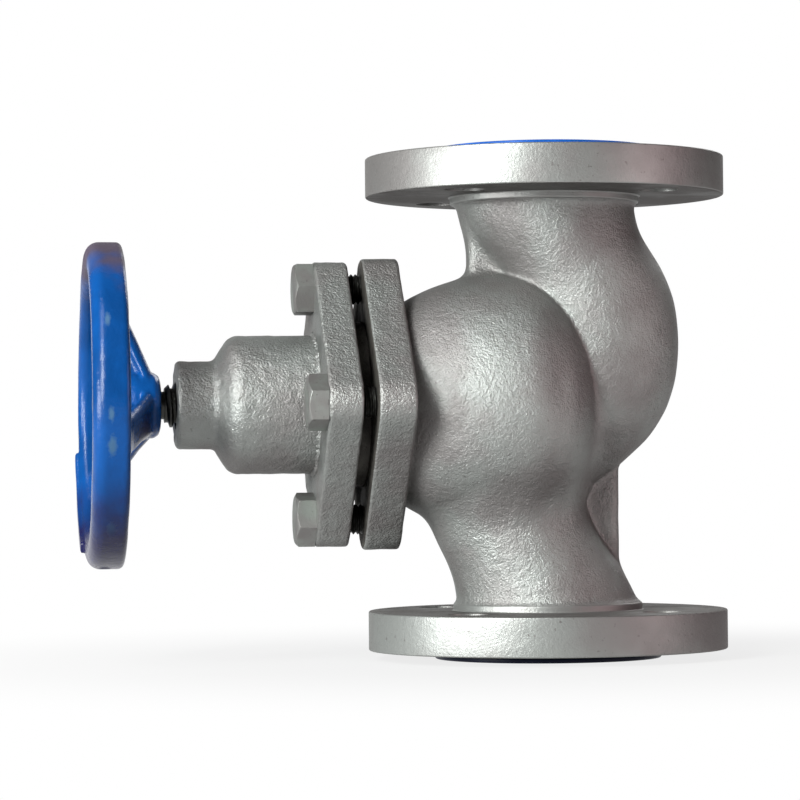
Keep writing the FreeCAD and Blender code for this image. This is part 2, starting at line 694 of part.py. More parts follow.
def bonnet():
    """Square flange, spigot that presses the upper ring, barrel, shoulder and threaded neck."""
    body = stem_body("bonnet")
    square_flange(body, "bonnet_flange", "bonnet_flange_back", "bonnet_flange_thickness",
                  "bonnet_flange_corner")
    barrel, neck = "barrel_diameter / 2", "bonnet_neck_diameter / 2"
    spigot = "ring_bore / 2 - bore_clearance"
    revolve(body, "bonnet_turning", outline(body, "bonnet_outline", "XY_Plane", [
        ("upper_ring_end", "0"),
        ("upper_ring_end", spigot),
        ("bonnet_flange_back + small_edge", spigot),
        ("bonnet_flange_back + small_edge", barrel),
        ("barrel_end", barrel),
        ("bonnet_shoulder_end", neck),
        ("neck_end", neck),
        ("neck_end", "0"),
    ]))
    soften(body, "bonnet_root", ring_edge("bonnet_flange_front", barrel), "barrel_root_fillet")
    shoulder = any_of(ring_edge("barrel_end", barrel), ring_edge("bonnet_shoulder_end", neck))
    soften(body, "bonnet_shoulder", shoulder, "bonnet_shoulder_fillet")
    soften(body, "bonnet_neck", ring_edge("neck_end", neck), "bonnet_neck_edge")
    revolve(body, "bonnet_boring", outline(body, "bonnet_inside", "XY_Plane", [
        ("upper_ring_end", "0"),
        ("upper_ring_end", "cavity_bore / 2"),
        ("bush_seat - cavity_taper", "cavity_bore / 2"),
        ("bush_seat", "bush_flange_diameter / 2 + bore_clearance"),
        ("bush_seat", "bush_diameter / 2 + bore_clearance"),
        ("bush_end", "bush_diameter / 2 + bore_clearance"),
        ("bush_end", "neck_lip_bore / 2"),
        ("neck_end", "neck_lip_bore / 2"),
        ("neck_end", "0"),
    ]), kind="PartDesign::Groove")
    grub_screw_hole(body, "bonnet_grub", "bush_seat")
    bonnet_bolt_holes(body, "bonnet_bolt_hole", "bonnet_bolt_hole", "bonnet_flange_back",
                      "bonnet_flange_thickness")
    return body


def valve_rings():
    """The two packed rings that the piston seals in."""
    inside, outside = "piston_diameter / 2 + running_clearance", "ring_bore / 2 - bore_clearance"
    return [
        sleeve("lower_valve_ring", "ring_shoulder", "lower_ring_end", inside, outside),
        sleeve("upper_valve_ring", "lantern_end", "upper_ring_end", inside, outside),
    ]


def lantern_bush():
    """The windowed sleeve between the rings."""
    body = sleeve("lantern_bush", "lower_ring_end", "lantern_end",
                  "piston_diameter / 2 + lantern_clearance", "ring_bore / 2 - bore_clearance")
    middle, half = "(lower_ring_end + lantern_end) / 2", "lantern_window_length / 2"
    side = "lantern_window_width / 2"
    corners = [
        (f"{middle} - {half}", f"-{side}"),
        (f"{middle} + {half}", f"-{side}"),
        (f"{middle} + {half}", side),
        (f"{middle} - {half}", side),
    ]
    sketch = outline(body, "lantern_window", "XY_Plane", corners)
    window = cut(body, "lantern_window_cut", sketch, "ring_bore", backwards=True)
    polar(body, "lantern_window_ring", window, "lantern_windows")
    return body


def piston():
    """The ground plunger with the socket for the spindle's collar."""
    outside, edge = "piston_diameter / 2", "piston_edge"
    return turned("piston", [
        ("piston_tip", "0"),
        ("piston_tip", f"{outside} - {edge}"),
        (f"piston_tip + {edge}", outside),
        ("piston_back - small_edge", outside),
        ("piston_back", f"{outside} - small_edge"),
        ("piston_back", "socket_diameter / 2"),
        ("socket_floor", "socket_diameter / 2"),
        ("socket_floor", "0"),
    ])


def thrust_disc():
    """The hard disc that the spindle pushes on."""
    return turned("thrust_disc", [
        ("socket_floor", "0"),
        ("socket_floor", "thrust_disc_diameter / 2"),
        ("disc_top", "thrust_disc_diameter / 2"),
        ("disc_top", "0"),
    ])


def split_rings():
    """The two halves that trap the spindle's collar."""
    halves = []
    for side, turn in (("near", 0), ("far", 180)):
        label = "split_ring_" + side
        body = stem_body(label)
        sketch = outline(body, label + "_outline", "XY_Plane", [
            ("split_ring_start", "spindle_waist_diameter / 2 + split_ring_play"),
            ("split_ring_start", "socket_diameter / 2 - bore_clearance"),
            ("split_ring_end", "socket_diameter / 2 - bore_clearance"),
            ("split_ring_end", "spindle_waist_diameter / 2 + split_ring_play"),
        ])
        half = revolve(body, label + "_turning", sketch)
        half.Midplane = True
        bind(half, "Angle", "split_ring_sweep")
        spin = FreeCAD.Rotation(FreeCAD.Vector(1, 0, 0), turn)
        body.Placement = FreeCAD.Placement(body.Placement.Base, body.Placement.Rotation.multiply(spin))
        halves.append(body)
    return halves


def piston_nut():
    """The ring nut in the mouth of the piston's socket."""
    body = sleeve("piston_nut", "split_ring_end", "piston_nut_end", "piston_nut_bore / 2",
                  "socket_diameter / 2 - bore_clearance")
    side = "spanner_slot_width / 2"
    sketch = outline(body, "spanner_slot", "XZ_Plane", [
        ("piston_nut_end - spanner_slot_depth", f"-{side}"),
        ("piston_nut_end", f"-{side}"),
        ("piston_nut_end", side),
        ("piston_nut_end - spanner_slot_depth", side),
    ])
    cut(body, "spanner_slots", sketch, "socket_diameter", symmetric=True)
    return body


def spindle():
    """Collar, waist, thread, nose, square for the wheel and thread for its nut, turned in one piece."""
    body = turned("spindle", [
        ("collar_start", "0"),
        ("collar_start", "spindle_collar_diameter / 2"),
        ("collar_end", "spindle_collar_diameter / 2"),
        ("collar_end", "spindle_waist_diameter / 2"),
        ("thread_start", "spindle_waist_diameter / 2"),
        ("thread_start", "spindle_diameter / 2"),
        ("thread_end - small_edge * 2", "spindle_diameter / 2"),
        ("thread_end", "spindle_diameter / 2 - small_edge * 2"),
        ("thread_end", "spindle_nose_diameter / 2"),
        ("hub_front - small_edge", "spindle_nose_diameter / 2"),
        ("hub_front - small_edge", "wheel_thread / 2"),
        ("spindle_end - small_edge", "wheel_thread / 2"),
        ("spindle_end", "wheel_thread / 2 - small_edge"),
        ("spindle_end", "0"),
    ], wheel_body)
    flat = outline(body, "wheel_flat", "XY_Plane", [
        ("wheel_back", "wheel_square / 2"),
        ("hub_front", "wheel_square / 2"),
        ("hub_front", "spindle_nose_diameter"),
        ("wheel_back", "spindle_nose_diameter"),
    ])
    side = cut(body, "wheel_flat_cut", flat, "spindle_diameter", symmetric=True)
    polar(body, "wheel_square_flats", side, "wheel_flats")
    return body


def grub_screw_hole(body, name, start):
    """The hole for the screw that locks the bush."""
    sketch = ring_sketch(body, name + "_circle", "YZ_Plane", "grub_screw_diameter / 2 + bore_clearance",
                         "grub_screw_place", "0", start)
    cut(body, name + "_hole", sketch, f"grub_screw_end + bore_clearance - ({start})", backwards=True)


def spindle_bush():
    """The threaded bush in the bonnet neck."""
    body = turned("spindle_bush", [
        ("cavity_end", "spindle_diameter / 2 + running_clearance"),
        ("cavity_end", "bush_flange_diameter / 2"),
        ("bush_seat", "bush_flange_diameter / 2"),
        ("bush_seat", "bush_diameter / 2"),
        ("bush_end", "bush_diameter / 2"),
        ("bush_end", "spindle_diameter / 2 + running_clearance"),
    ])
    grub_screw_hole(body, "bush_grub", "cavity_end")
    return body


def hexagon(label, start, height, flats):
    """A hexagon across the stem with a flat towards the Y axis and its front corners turned off."""
    body = stem_body(label)
    corner = f"{flats} / sqrt(3)"
    corners = [around(corner, f"{WHOLE_TURN} / 6 * ({i} + 1 / 2)") for i in range(6)]
    pad(body, label + "_hexagon", outline(body, label + "_head", "YZ_Plane", corners, start), height)
    crown, beyond = f"{flats} / 2 * crown_share", f"{corner} + small_edge"
    revolve(body, label + "_crown", outline(body, label + "_crown_cut", "XY_Plane", [
        (f"{start} + {height}", crown),
        (f"{start} + {height}", beyond),
        (f"{start} + {height} - ({beyond} - {crown}) * tan(crown_slope)", beyond),
    ]), kind="PartDesign::Groove")
    return body


def bonnet_bolts():
    """Four hexagon bolts, one group of separate solids, each stopped at its own angle."""
    label, shank = "bonnet_bolt_blank", "bonnet_bolt / 2"
    blank = hexagon(label, "bonnet_flange_front", "bonnet_bolt_head", "bonnet_bolt_flats")
    rod = ring_sketch(blank, label + "_rod", "YZ_Plane", shank, lift="bonnet_flange_front")
    pad(blank, label + "_shank", rod, "bonnet_bolt_length", backwards=True)
    tip = ring_edge("bonnet_flange_front - bonnet_bolt_length", shank)
    soften(blank, label + "_point", tip, "small_edge * 2", "Chamfer")
    doc.recompute()
    group = doc.addObject("Part::Feature", "bonnet_bolts")
    group.Label = "bonnet_bolts"
    reach, height = number("bonnet_bolt_circle / 2"), number("stem_height")
    base = FreeCAD.Rotation(FreeCAD.Vector(0, 0, 1), 180)
    bolts = []
    for name, y, z in (("top", 0, 1), ("near", -1, 0), ("bottom", 0, -1), ("far", 1, 0)):
        turn = FreeCAD.Rotation(FreeCAD.Vector(1, 0, 0), number("bolt_turn_" + name))
        bolt = blank.Shape.copy()
        place = FreeCAD.Vector(0, y * reach, height + z * reach)
        bolt.Placement = FreeCAD.Placement(place, base.multiply(turn))
        bolts.append(bolt)
    group.Shape = Part.makeCompound(bolts)
    return group


def handwheel():
    """Dished cast wheel: rim, bent spokes, hub with a square hole and a raised bare pad."""
    body = wheel_body("handwheel")
    outside = "wheel_diameter / 2"
    revolve(body, "rim_turning", outline(body, "rim_outline", "XY_Plane", [
        ("rim_back", "rim_inside"),
        ("rim_front", "rim_inside"),
        ("rim_front", outside),
        ("rim_back", outside),
    ]))
    soften(body, "rim_front_round", ring_edge("rim_front", outside), "rim_front_rounding")
    soften(body, "rim_back_round", ring_edge("rim_back", outside), "rim_back_rounding")
    inner = any_of(ring_edge("rim_front", "rim_inside"), ring_edge("rim_back", "rim_inside"))
    soften(body, "rim_inner_round", inner, "rim_inner_rounding")
    pad_sketch = outline(body, "pad_outline", "XY_Plane", [
        ("rim_front - pad_height", "rim_inside + rim_inner_rounding"),
        ("rim_front + pad_height", "rim_inside + rim_inner_rounding"),
        ("rim_front + pad_height", "rim_inside + rim_inner_rounding + pad_width"),
        ("rim_front - pad_height", "rim_inside + rim_inner_rounding + pad_width"),
    ])
    pad_sketch.AttachmentOffset = FreeCAD.Placement(
        FreeCAD.Vector(), FreeCAD.Rotation(FreeCAD.Vector(1, 0, 0), number("pad_turn")))
    bare_pad = revolve(body, "pad_turning", pad_sketch)
    bare_pad.Midplane = True
    bind(bare_pad, "Angle", "pad_sweep")
    knee, hub = "wheel_back + spoke_knee_rise", "hub_diameter / 2"
    rim_end, rim_seat = "rim_inside + rim_height / 3", "rim_back + rim_inner_rounding"
    spoke_outline = outline(body, "spoke_outline", "XY_Plane", [
        ("wheel_back + hub_edge", "0"),
        ("wheel_back + hub_edge", f"{hub} - hub_edge"),
        (knee, "spoke_knee_radius"),
        (rim_seat, rim_end),
        (f"{rim_seat} + spoke_thickness", rim_end),
        (f"{knee} + spoke_thickness", "spoke_knee_radius"),
        ("hub_front - hub_edge", f"{hub} - hub_edge"),
        ("hub_front - hub_edge", "0"),
    ])
    spoke = pad(body, "spoke", spoke_outline, "spoke_width", symmetric=True)
    polar(body, "spoke_ring", spoke, "spokes")
    revolve(body, "hub_turning", outline(body, "hub_outline", "XY_Plane", [
        ("wheel_back", "0"),
        ("wheel_back", f"{hub} - hub_edge"),
        ("wheel_back + hub_edge", hub),
        ("wheel_back + hub_length / 2", hub),
        ("hub_front", "hub_front_diameter / 2"),
        ("hub_front", "0"),
    ]))
    half = "wheel_square / 2 + wheel_square_play"
    hole = outline(body, "wheel_square_hole", "YZ_Plane", [
        (half, half), (f"-({half})", half), (f"-({half})", f"-({half})"), (half, f"-({half})"),
    ], "hub_front")
    cut(body, "wheel_square_cut", hole, "hub_length")
    return body


def handwheel_washer():
    """The washer under the wheel nut."""
    return turned("handwheel_washer", [
        ("hub_front", "wheel_thread / 2 + wheel_square_play"),
        ("hub_front", "wheel_washer_diameter / 2"),
        ("washer_front", "wheel_washer_diameter / 2"),
        ("washer_front", "wheel_thread / 2 + wheel_square_play"),
    ])


def handwheel_nut():
    """The hexagon nut on the spindle's end."""
    body = hexagon("handwheel_nut", "washer_front", "wheel_nut_height", "wheel_nut_flats")
    sketch = ring_sketch(body, "wheel_nut_thread", "YZ_Plane", "wheel_thread / 2 + bore_clearance",
                         lift="wheel_nut_front")
    cut(body, "wheel_nut_bore", sketch, "wheel_nut_height")
    return body


def grub_screw():
    """The small screw through the bush's flange into the bonnet, which locks the bush."""
    body = stem_body("bush_grub_screw")
    sketch = ring_sketch(body, "grub_screw_circle", "YZ_Plane", "grub_screw_diameter / 2",
                         "grub_screw_place", "0", "cavity_end")
    pad(body, "grub_screw_rod", sketch, "grub_screw_length")
    return body


def flange_cover(label, height, upside_down):
    """A plastic disc on a raised face with a thin-walled plug in the port."""
    body = new_body(label)
    plug = "port_diameter / 2 - cover_play"
    revolve(body, label + "_turning", outline(body, label + "_outline", "XZ_Plane", [
        ("0", "0"),
        ("cover_diameter / 2 - small_edge", "0"),
        ("cover_diameter / 2", "small_edge"),
        ("cover_diameter / 2", "cover_thickness"),
        (plug, "cover_thickness"),
        (plug, "cover_thickness + cover_plug_depth"),
        (f"{plug} - cover_plug_wall", "cover_thickness + cover_plug_depth"),
        (f"{plug} - cover_plug_wall", "cover_thickness"),
        ("0", "cover_thickness"),
    ]), "V_Axis")
    if upside_down:
        turn = FreeCAD.Rotation(FreeCAD.Vector(1, 0, 0), 180)
        body.Placement = FreeCAD.Placement(FreeCAD.Vector(), turn)
    bind(body, ".Placement.Base.z", height)
    return body


def check(pieces):
    """Stop if any object failed or any piece has no sound shape."""
    for thing in doc.Objects:
        if {"Invalid", "Error"} & set(thing.State):
            raise RuntimeError(f"{thing.Name} failed: {thing.State}")
    for piece in pieces:
        shape = piece.Shape
        if shape.isNull() or not shape.isValid() or not shape.Solids:
            raise RuntimeError(f"{piece.Label} has no sound shape")


def main():
    """Build every piece, test it and write it under its label."""
    pieces = [body_flange(), bonnet(), lantern_bush(), piston(), thrust_disc(), piston_nut(), spindle(),
              spindle_bush(), grub_screw(), bonnet_bolts(), handwheel(), handwheel_washer(),
              handwheel_nut()]
    pieces += casting() + valve_rings() + split_rings()
    pieces.append(end_flange("lower_end_flange", "cover_thickness", False))
    pieces.append(end_flange("upper_end_flange", "cover_thickness + face_to_face", True))
    pieces.append(flange_cover("lower_flange_cover", "0", False))
    pieces.append(flange_cover("upper_flange_cover", "face_to_face + cover_thickness * 2", True))
    doc.recompute()
    check(pieces)
    os.makedirs("parts", exist_ok=True)
    for piece in pieces:
        piece.Shape.exportStep(f"parts/{piece.Label}.step")


main()
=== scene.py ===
"""Looks of the flanged piston valve: cast skins, painted handwheel, threads, covers and a pale studio.

The valve stands on its lower flange with the flow axis on Z, and the stem points along -X. Lengths in
the code are millimetres in the valve's own measures; sizes and colours that a user would change are
properties of the scene, and each piece has its own operator in the Valve tab of the sidebar.
"""
import math

import bmesh
import bpy
import numpy as np
import openvdb
from mathutils import Matrix, Vector, noise


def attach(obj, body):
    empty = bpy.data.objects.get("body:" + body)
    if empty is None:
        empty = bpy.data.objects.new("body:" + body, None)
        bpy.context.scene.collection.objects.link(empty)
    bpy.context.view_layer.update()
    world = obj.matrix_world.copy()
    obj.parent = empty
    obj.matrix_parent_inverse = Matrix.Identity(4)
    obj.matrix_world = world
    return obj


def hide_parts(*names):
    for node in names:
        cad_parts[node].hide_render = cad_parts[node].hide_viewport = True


bl_info = {
    "name": "Piston valve looks",
    "version": (1, 0, 0),
    "blender": (4, 5, 0),
    "location": "3D View > Sidebar > Valve",
    "description": "Builds the finished look of a flanged piston valve over its fixed frame",
    "category": "Object",
}

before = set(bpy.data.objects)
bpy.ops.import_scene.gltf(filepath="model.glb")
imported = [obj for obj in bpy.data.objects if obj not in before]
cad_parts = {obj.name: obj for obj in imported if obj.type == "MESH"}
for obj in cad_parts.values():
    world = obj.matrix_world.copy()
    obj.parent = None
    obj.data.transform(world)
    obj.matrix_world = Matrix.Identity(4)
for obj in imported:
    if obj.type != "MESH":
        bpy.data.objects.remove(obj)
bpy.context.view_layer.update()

MM = 0.001
FULL_TURN = 2 * math.pi
STEM_HEIGHT = 117.0
RING_BORE = 33.1
BODY_BACK, BODY_FACE = 69.0, 86.0
BONNET_BACK, BONNET_FACE = 92.5, 108.0
NECK_END = 171.0
THREAD_END = 176.0
WHEEL_BACK, HUB_FACE = 178.0, 200.0
FIRST_SPOKE = 98
UPPER_FACE = 232.0
PORT, RAISED_FACE, COLLAR, COLLAR_HEIGHT = 25, 51, 43.5, 3.5
PORT_BOLTS, PORT_BOLT_HOLE = 62.5, 9.0
BONNET_BOLTS = 52.5


# Sizes and colours


class ValveSizes(bpy.types.PropertyGroup):
    """Measures of the valve that the pieces are built from."""

    skin_step: bpy.props.FloatProperty(
        name="Skin step", description="Cell size of the blended casting skin",
        default=0.00125, unit="LENGTH")
    wheel_step: bpy.props.FloatProperty(
        name="Wheel step", description="Cell size of the blended handwheel skin",
        default=0.0007, unit="LENGTH")
    crease_blend: bpy.props.FloatProperty(
        name="Crease blend", description="Softness of the crease between dome and upper passage",
        default=0.0010, unit="LENGTH")
    neck_blend: bpy.props.FloatProperty(
        name="Neck blend", description="Softness where the lower neck runs into the dome",
        default=0.011, unit="LENGTH")
    flange_diameter: bpy.props.FloatProperty(
        name="Flange diameter", description="Outside of the end flanges",
        default=0.165, unit="LENGTH")
    flange_thickness: bpy.props.FloatProperty(
        name="Flange thickness", description="End flange with its raised face",
        default=0.020, unit="LENGTH")
    wheel_diameter: bpy.props.FloatProperty(
        name="Wheel diameter", description="Outside of the handwheel",
        default=0.148, unit="LENGTH")
    spindle_pitch: bpy.props.FloatProperty(
        name="Spindle pitch", description="Pitch of the spindle's thread",
        default=0.004, unit="LENGTH")
    bolt_pitch: bpy.props.FloatProperty(
        name="Bolt pitch", description="Pitch of the bonnet bolts' thread",
        default=0.002, unit="LENGTH")


class ValveColours(bpy.types.PropertyGroup):
    """Colours of the finishes."""

    silver_paint: bpy.props.FloatVectorProperty(
        name="Silver paint", description="Aluminium paint on the castings",
        subtype="COLOR", size=3, min=0, max=1, default=(0.26, 0.27, 0.26))
    silver_shade: bpy.props.FloatVectorProperty(
        name="Silver shade", description="Thinner, dirtier places of the aluminium paint",
        subtype="COLOR", size=3, min=0, max=1, default=(0.205, 0.196, 0.192))
    bolt_paint: bpy.props.FloatVectorProperty(
        name="Bolt paint", description="Paint on the bonnet bolts",
        subtype="COLOR", size=3, min=0, max=1, default=(0.26, 0.28, 0.26))
    wheel_paint: bpy.props.FloatVectorProperty(
        name="Wheel paint", description="Gloss paint on the handwheel",
        subtype="COLOR", size=3, min=0, max=1, default=(0.002, 0.049, 0.198))
    wheel_bare: bpy.props.FloatVectorProperty(
        name="Bare iron", description="Iron that shows through the worn wheel paint",
        subtype="COLOR", size=3, min=0, max=1, default=(0.035, 0.09, 0.175))
    # Painted shade at the wheel's foot and on the lower hub.
    wheel_painted_shade: bpy.props.FloatVectorProperty(
        name="Wheel painted shade", description="Darkened paint at the wheel's foot and behind its spokes",
        subtype="COLOR", size=3, min=0, max=1, default=(0.008, 0.008, 0.045))
    wheel_top_tone: bpy.props.FloatVectorProperty(
        name="Wheel top tone", description="Dulled paint at the top of the wheel",
        subtype="COLOR", size=3, min=0, max=1, default=(0.055, 0.042, 0.065))
    dark_thread: bpy.props.FloatVectorProperty(
        name="Dark thread", description="Oiled threads",
        subtype="COLOR", size=3, min=0, max=1, default=(0.045, 0.045, 0.042))
    # Painted shade: the same blue plastic as the upper cover, made dark for the shade under the lower
    # flange.
    lower_cover: bpy.props.FloatVectorProperty(
        name="Lower cover, shaded", description="Plastic of the lower flange cover",
        subtype="COLOR", size=3, min=0, max=1, default=(0.003, 0.005, 0.020))
    upper_cover: bpy.props.FloatVectorProperty(
        name="Upper cover", description="Plastic of the upper flange cover",
        subtype="COLOR", size=3, min=0, max=1, default=(0.003, 0.06, 0.28))
    floor: bpy.props.FloatVectorProperty(
        name="Floor", description="Colour of the studio floor",
        subtype="COLOR", size=3, min=0, max=1, default=(0.38, 0.38, 0.38))


def sizes():
    return bpy.context.scene.valve_sizes


def colours():
    return bpy.context.scene.valve_colours


# Placing and finishing meshes


def along_stem(points):
    """Points of (along the stem, towards the viewer, up) in millimetres, as valve places in metres."""
    points = np.asarray(points, float)
    return np.column_stack([-points[:, 0], -points[:, 1], points[:, 2] + STEM_HEIGHT]) * MM


def upright(points, height=0.0):
    """Points of a piece on the flow axis in millimetres, as valve places in metres."""
    return (np.asarray(points, float) + [0, 0, height]) * MM


def add_piece(name, points, faces, material, body, stands_for=(), sharp=35):
    """A mesh object that rides on a body of the frame and stands for nodes of it."""
    mesh = bpy.data.meshes.new(name)
    mesh.from_pydata([tuple(p) for p in points], [], [tuple(f) for f in faces])
    mesh.validate()
    shape = bmesh.new()
    shape.from_mesh(mesh)
    bmesh.ops.remove_doubles(shape, verts=shape.verts, dist=1e-7)
    bmesh.ops.recalc_face_normals(shape, faces=shape.faces)
    shape.to_mesh(mesh)
    shape.free()
    return finish_piece(name, mesh, material, body, stands_for, sharp)


def finish_piece(name, mesh, material, body, stands_for=(), sharp=35):
    """Shade a mesh, give it its finish and seat it in the frame."""
    mesh.materials.clear()
    mesh.materials.append(material)
    mesh.polygons.foreach_set("use_smooth", [True] * len(mesh.polygons))
    if sharp:
        mesh.set_sharp_from_angle(angle=math.radians(sharp))
    piece = bpy.data.objects.new(name, mesh)
    bpy.context.scene.collection.objects.link(piece)
    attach(piece, body)
    if stands_for:
        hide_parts(*stands_for)
    return piece


def combine(*parts):
    """Several (points, faces) as one."""
    points, faces, start = [], [], 0
    for part_points, part_faces in parts:
        points.append(np.asarray(part_points, float))
        faces += [tuple(int(i) + start for i in face) for face in part_faces]
        start += len(part_points)
    return np.vstack(points), faces


def cut_with(piece, cutters):
    """Cut closed (points, faces) away from a piece for good."""
    made = []
    for points, faces in cutters:
        mesh = bpy.data.meshes.new("cutter")
        mesh.from_pydata([tuple(p) for p in points], [], [tuple(f) for f in faces])
        shape = bmesh.new()
        shape.from_mesh(mesh)
        bmesh.ops.recalc_face_normals(shape, faces=shape.faces)
        shape.to_mesh(mesh)
        shape.free()
        cutter = bpy.data.objects.new("cutter", mesh)
        bpy.context.scene.collection.objects.link(cutter)
        modifier = piece.modifiers.new("cut", "BOOLEAN")
        modifier.operation = "DIFFERENCE"
        modifier.solver = "EXACT"
        modifier.object = cutter
        made.append(cutter)
    graph = bpy.context.evaluated_depsgraph_get()
    result = bpy.data.meshes.new_from_object(piece.evaluated_get(graph))
    piece.modifiers.clear()
    piece.data = result
    for cutter in made:
        bpy.data.objects.remove(cutter)
    return piece


def roughen(piece, amount, size, seed, keep=None):
    """Push the points of a piece in and out along their normals, as sand moulding leaves them."""
    mesh = piece.data
    offset = Vector((seed * 3.1, seed * 1.7, seed * 0.9))
    scale = 1 / (size * MM)
    normals = [vertex.normal.copy() for vertex in mesh.vertices]
    for vertex, normal in zip(mesh.vertices, normals):
        share = 1.0 if keep is None else keep(vertex.co)
        if share:
            vertex.co += normal * (noise.noise(vertex.co * scale + offset) * amount * MM * share)
    mesh.update()
    return piece


# Outlines


def rounded(corners, radii, steps=6):
    """A closed outline whose corners are rounded with arcs of the given radii."""
    made = []
    count = len(corners)
    for i, (corner, radius) in enumerate(zip(corners, radii)):
        here = np.array(corner, float)
        if radius == 0:
            made.append(here)
            continue
        before = np.array(corners[i - 1], float) - here
        after = np.array(corners[(i + 1) % count], float) - here
        before, after = before / np.linalg.norm(before), after / np.linalg.norm(after)
        half = math.acos(float(np.clip(before @ after, -1, 1))) / 2
        reach = radius / math.tan(half)
        middle = here + (before + after) / np.linalg.norm(before + after) * radius / math.sin(half)
        start, end = here + before * reach - middle, here + after * reach - middle
        sweep = math.acos(float(np.clip(start @ end / radius ** 2, -1, 1)))
        for step in range(steps + 1):
            t = step / steps
            place = (start * math.sin((1 - t) * sweep) + end * math.sin(t * sweep)) / math.sin(sweep)
            made.append(middle + place)
    return np.array(made)


def spread(line, step):
    """The same closed outline with no side longer than a step."""
    made = []
    for start, end in zip(line, np.roll(line, -1, axis=0)):
        count = max(1, math.ceil(np.linalg.norm(end - start) / step))
        made += [start + (end - start) * i / count for i in range(count)]
    return np.array(made)


def ring_faces(rings, size, around=False, capped=False):
    """Faces between rings of points that follow each other, each ring closed on itself."""
    faces = []
    for i in range(rings if around else rings - 1):
        low, high = i * size, (i + 1) % rings * size
        for j in range(size):
            k = (j + 1) % size
            faces.append((low + j, high + j, high + k, low + k))
    if capped:
        faces += [tuple(range(size)), tuple(range((rings - 1) * size, rings * size))]
    return faces


def lathe(line, steps=192, closed=True, capped=False):
    """Turn an outline of (along, radius) about its axis; the axis is the first coordinate."""
    angles = np.arange(steps) * FULL_TURN / steps
    count = len(line)
    along = np.repeat(line[:, 0], steps)
    radius = np.repeat(line[:, 1], steps)
    turn = np.tile(angles, count)
    points = np.column_stack([along, radius * np.cos(turn), radius * np.sin(turn)])
    return points, ring_faces(count, steps, around=closed, capped=capped)


def rod(start, end, radius, steps=48):
    """A plain round bar from start to end, closed at both ends, as (points, faces)."""
    return lathe(np.array([(start, radius), (end, radius)]), steps, closed=False, capped=True)


def square_ring(half_side, corner, steps=10):
    """A square that stands on its corner, with rounded corners, as (across, up)."""
    made = []
    inner = half_side - corner
    for quarter in range(4):
        middle_turn = math.radians(45 + 90 * quarter)
        middle = np.array([math.cos(middle_turn), math.sin(middle_turn)]) * inner * math.sqrt(2)
        for step in range(steps + 1):
            turn = math.radians(90 * quarter + 90 * step / steps)
            made.append(middle + corner * np.array([math.cos(turn), math.sin(turn)]))
    made = spread(np.array(made), 2.5)
    turn = math.radians(45)
    spin = np.array([[math.cos(turn), -math.sin(turn)], [math.sin(turn), math.cos(turn)]])
    return made @ spin.T


def square_plate(start, end, half_side, corner, edge, arc=5):
    """A square plate across the stem with rounded edges, as (points, faces)."""
    rings = [(start + edge * (1 - math.sin(math.pi / 2 * s / arc)),
              edge * (1 - math.cos(math.pi / 2 * s / arc))) for s in range(arc, -1, -1)]
    count = max(1, math.ceil((end - start - 2 * edge) / 2.5))
    straight = [(start + edge + (end - start - 2 * edge) * s / count, 0.0) for s in range(1, count)]
    rings += straight + [(start + end - along, inset) for along, inset in reversed(rings)]
    points = []
    for along, inset in rings:
        points += [(along, across, up) for across, up in square_ring(half_side - inset, corner - inset)]
    return points, ring_faces(len(rings), len(points) // len(rings), capped=True)


def screw(start, end, crest, root, pitch, flank, phase=0.0, steps=96, rise=0.25):
    """A right-hand thread from start to end as (points, faces).

    The flank is the share of a pitch that slopes.
    """
    count = max(2, math.ceil((end - start) / rise))
    along = np.linspace(start, end, count + 1)
    turn = np.arange(steps) / steps
    place = (along[:, None] / pitch - turn[None, :] + phase) % 1.0
    ridge = np.clip((0.25 + flank / 2 - np.abs(place - 0.5)) / flank, 0, 1)
    radius = root + (crest - root) * ridge
    edge = np.minimum(along - start, end - along)[:, None]
    radius = np.minimum(radius, root + np.clip(edge / (crest - root), 0, 1) * (crest - root))
    angle = turn[None, :] * FULL_TURN
    points = np.column_stack([
        np.repeat(along, steps),
        (radius * np.cos(angle)).ravel(),
        (radius * np.sin(angle)).ravel(),
    ])
    return points, ring_faces(count + 1, steps, capped=True)


def on_end(points, flip):
    """Points of (along, across, across) stood upright, or on their head where flip is -1."""
    return np.column_stack([points[:, 1], points[:, 2], points[:, 0] * flip])


def turned(points, angle):
    """Points turned about the stem."""
    along, y, z = points[:, 0], points[:, 1], points[:, 2]
    return np.column_stack([along, y * math.cos(angle) - z * math.sin(angle),
                            y * math.sin(angle) + z * math.cos(angle)])


# Blended skins


def spline(knots, values):
    """A smooth curve through values at knots: gives value and slope at any places."""
    knots, values = np.asarray(knots, float), np.asarray(values, float)
    gaps = np.diff(knots)
    count = len(knots)
    system, right = np.zeros((count, count)), np.zeros(count)
    system[0, 0] = system[-1, -1] = 1
    for i in range(1, count - 1):
        system[i, i - 1:i + 2] = gaps[i - 1], 2 * (gaps[i - 1] + gaps[i]), gaps[i]
        ahead, behind = (values[i + 1] - values[i]) / gaps[i], (values[i] - values[i - 1]) / gaps[i - 1]
        right[i] = 6 * (ahead - behind)
    bend = np.linalg.solve(system, right)

    def at(places):
        places = np.clip(places, knots[0], knots[-1])
        i = np.clip(np.searchsorted(knots, places) - 1, 0, count - 2)
        t, gap = places - knots[i], gaps[i]
        first = (values[i + 1] - values[i]) / gap - gap * (2 * bend[i] + bend[i + 1]) / 6
        third = (bend[i + 1] - bend[i]) / (6 * gap)
        return values[i] + t * (first + t * (bend[i] / 2 + t * third)), \
            first + t * (bend[i] + 3 * t * third)
    return at


def join(a, b, blend):
    """Two distance fields as one, with a fillet of about the given size between them."""
    share = np.clip(blend - np.abs(a - b), 0, None) / blend
    return np.minimum(a, b) - share * share * blend / 4


def trim(a, b, blend):
    """The part of field a that is also inside b, with a softened edge."""
    return -join(-a, -b, blend)


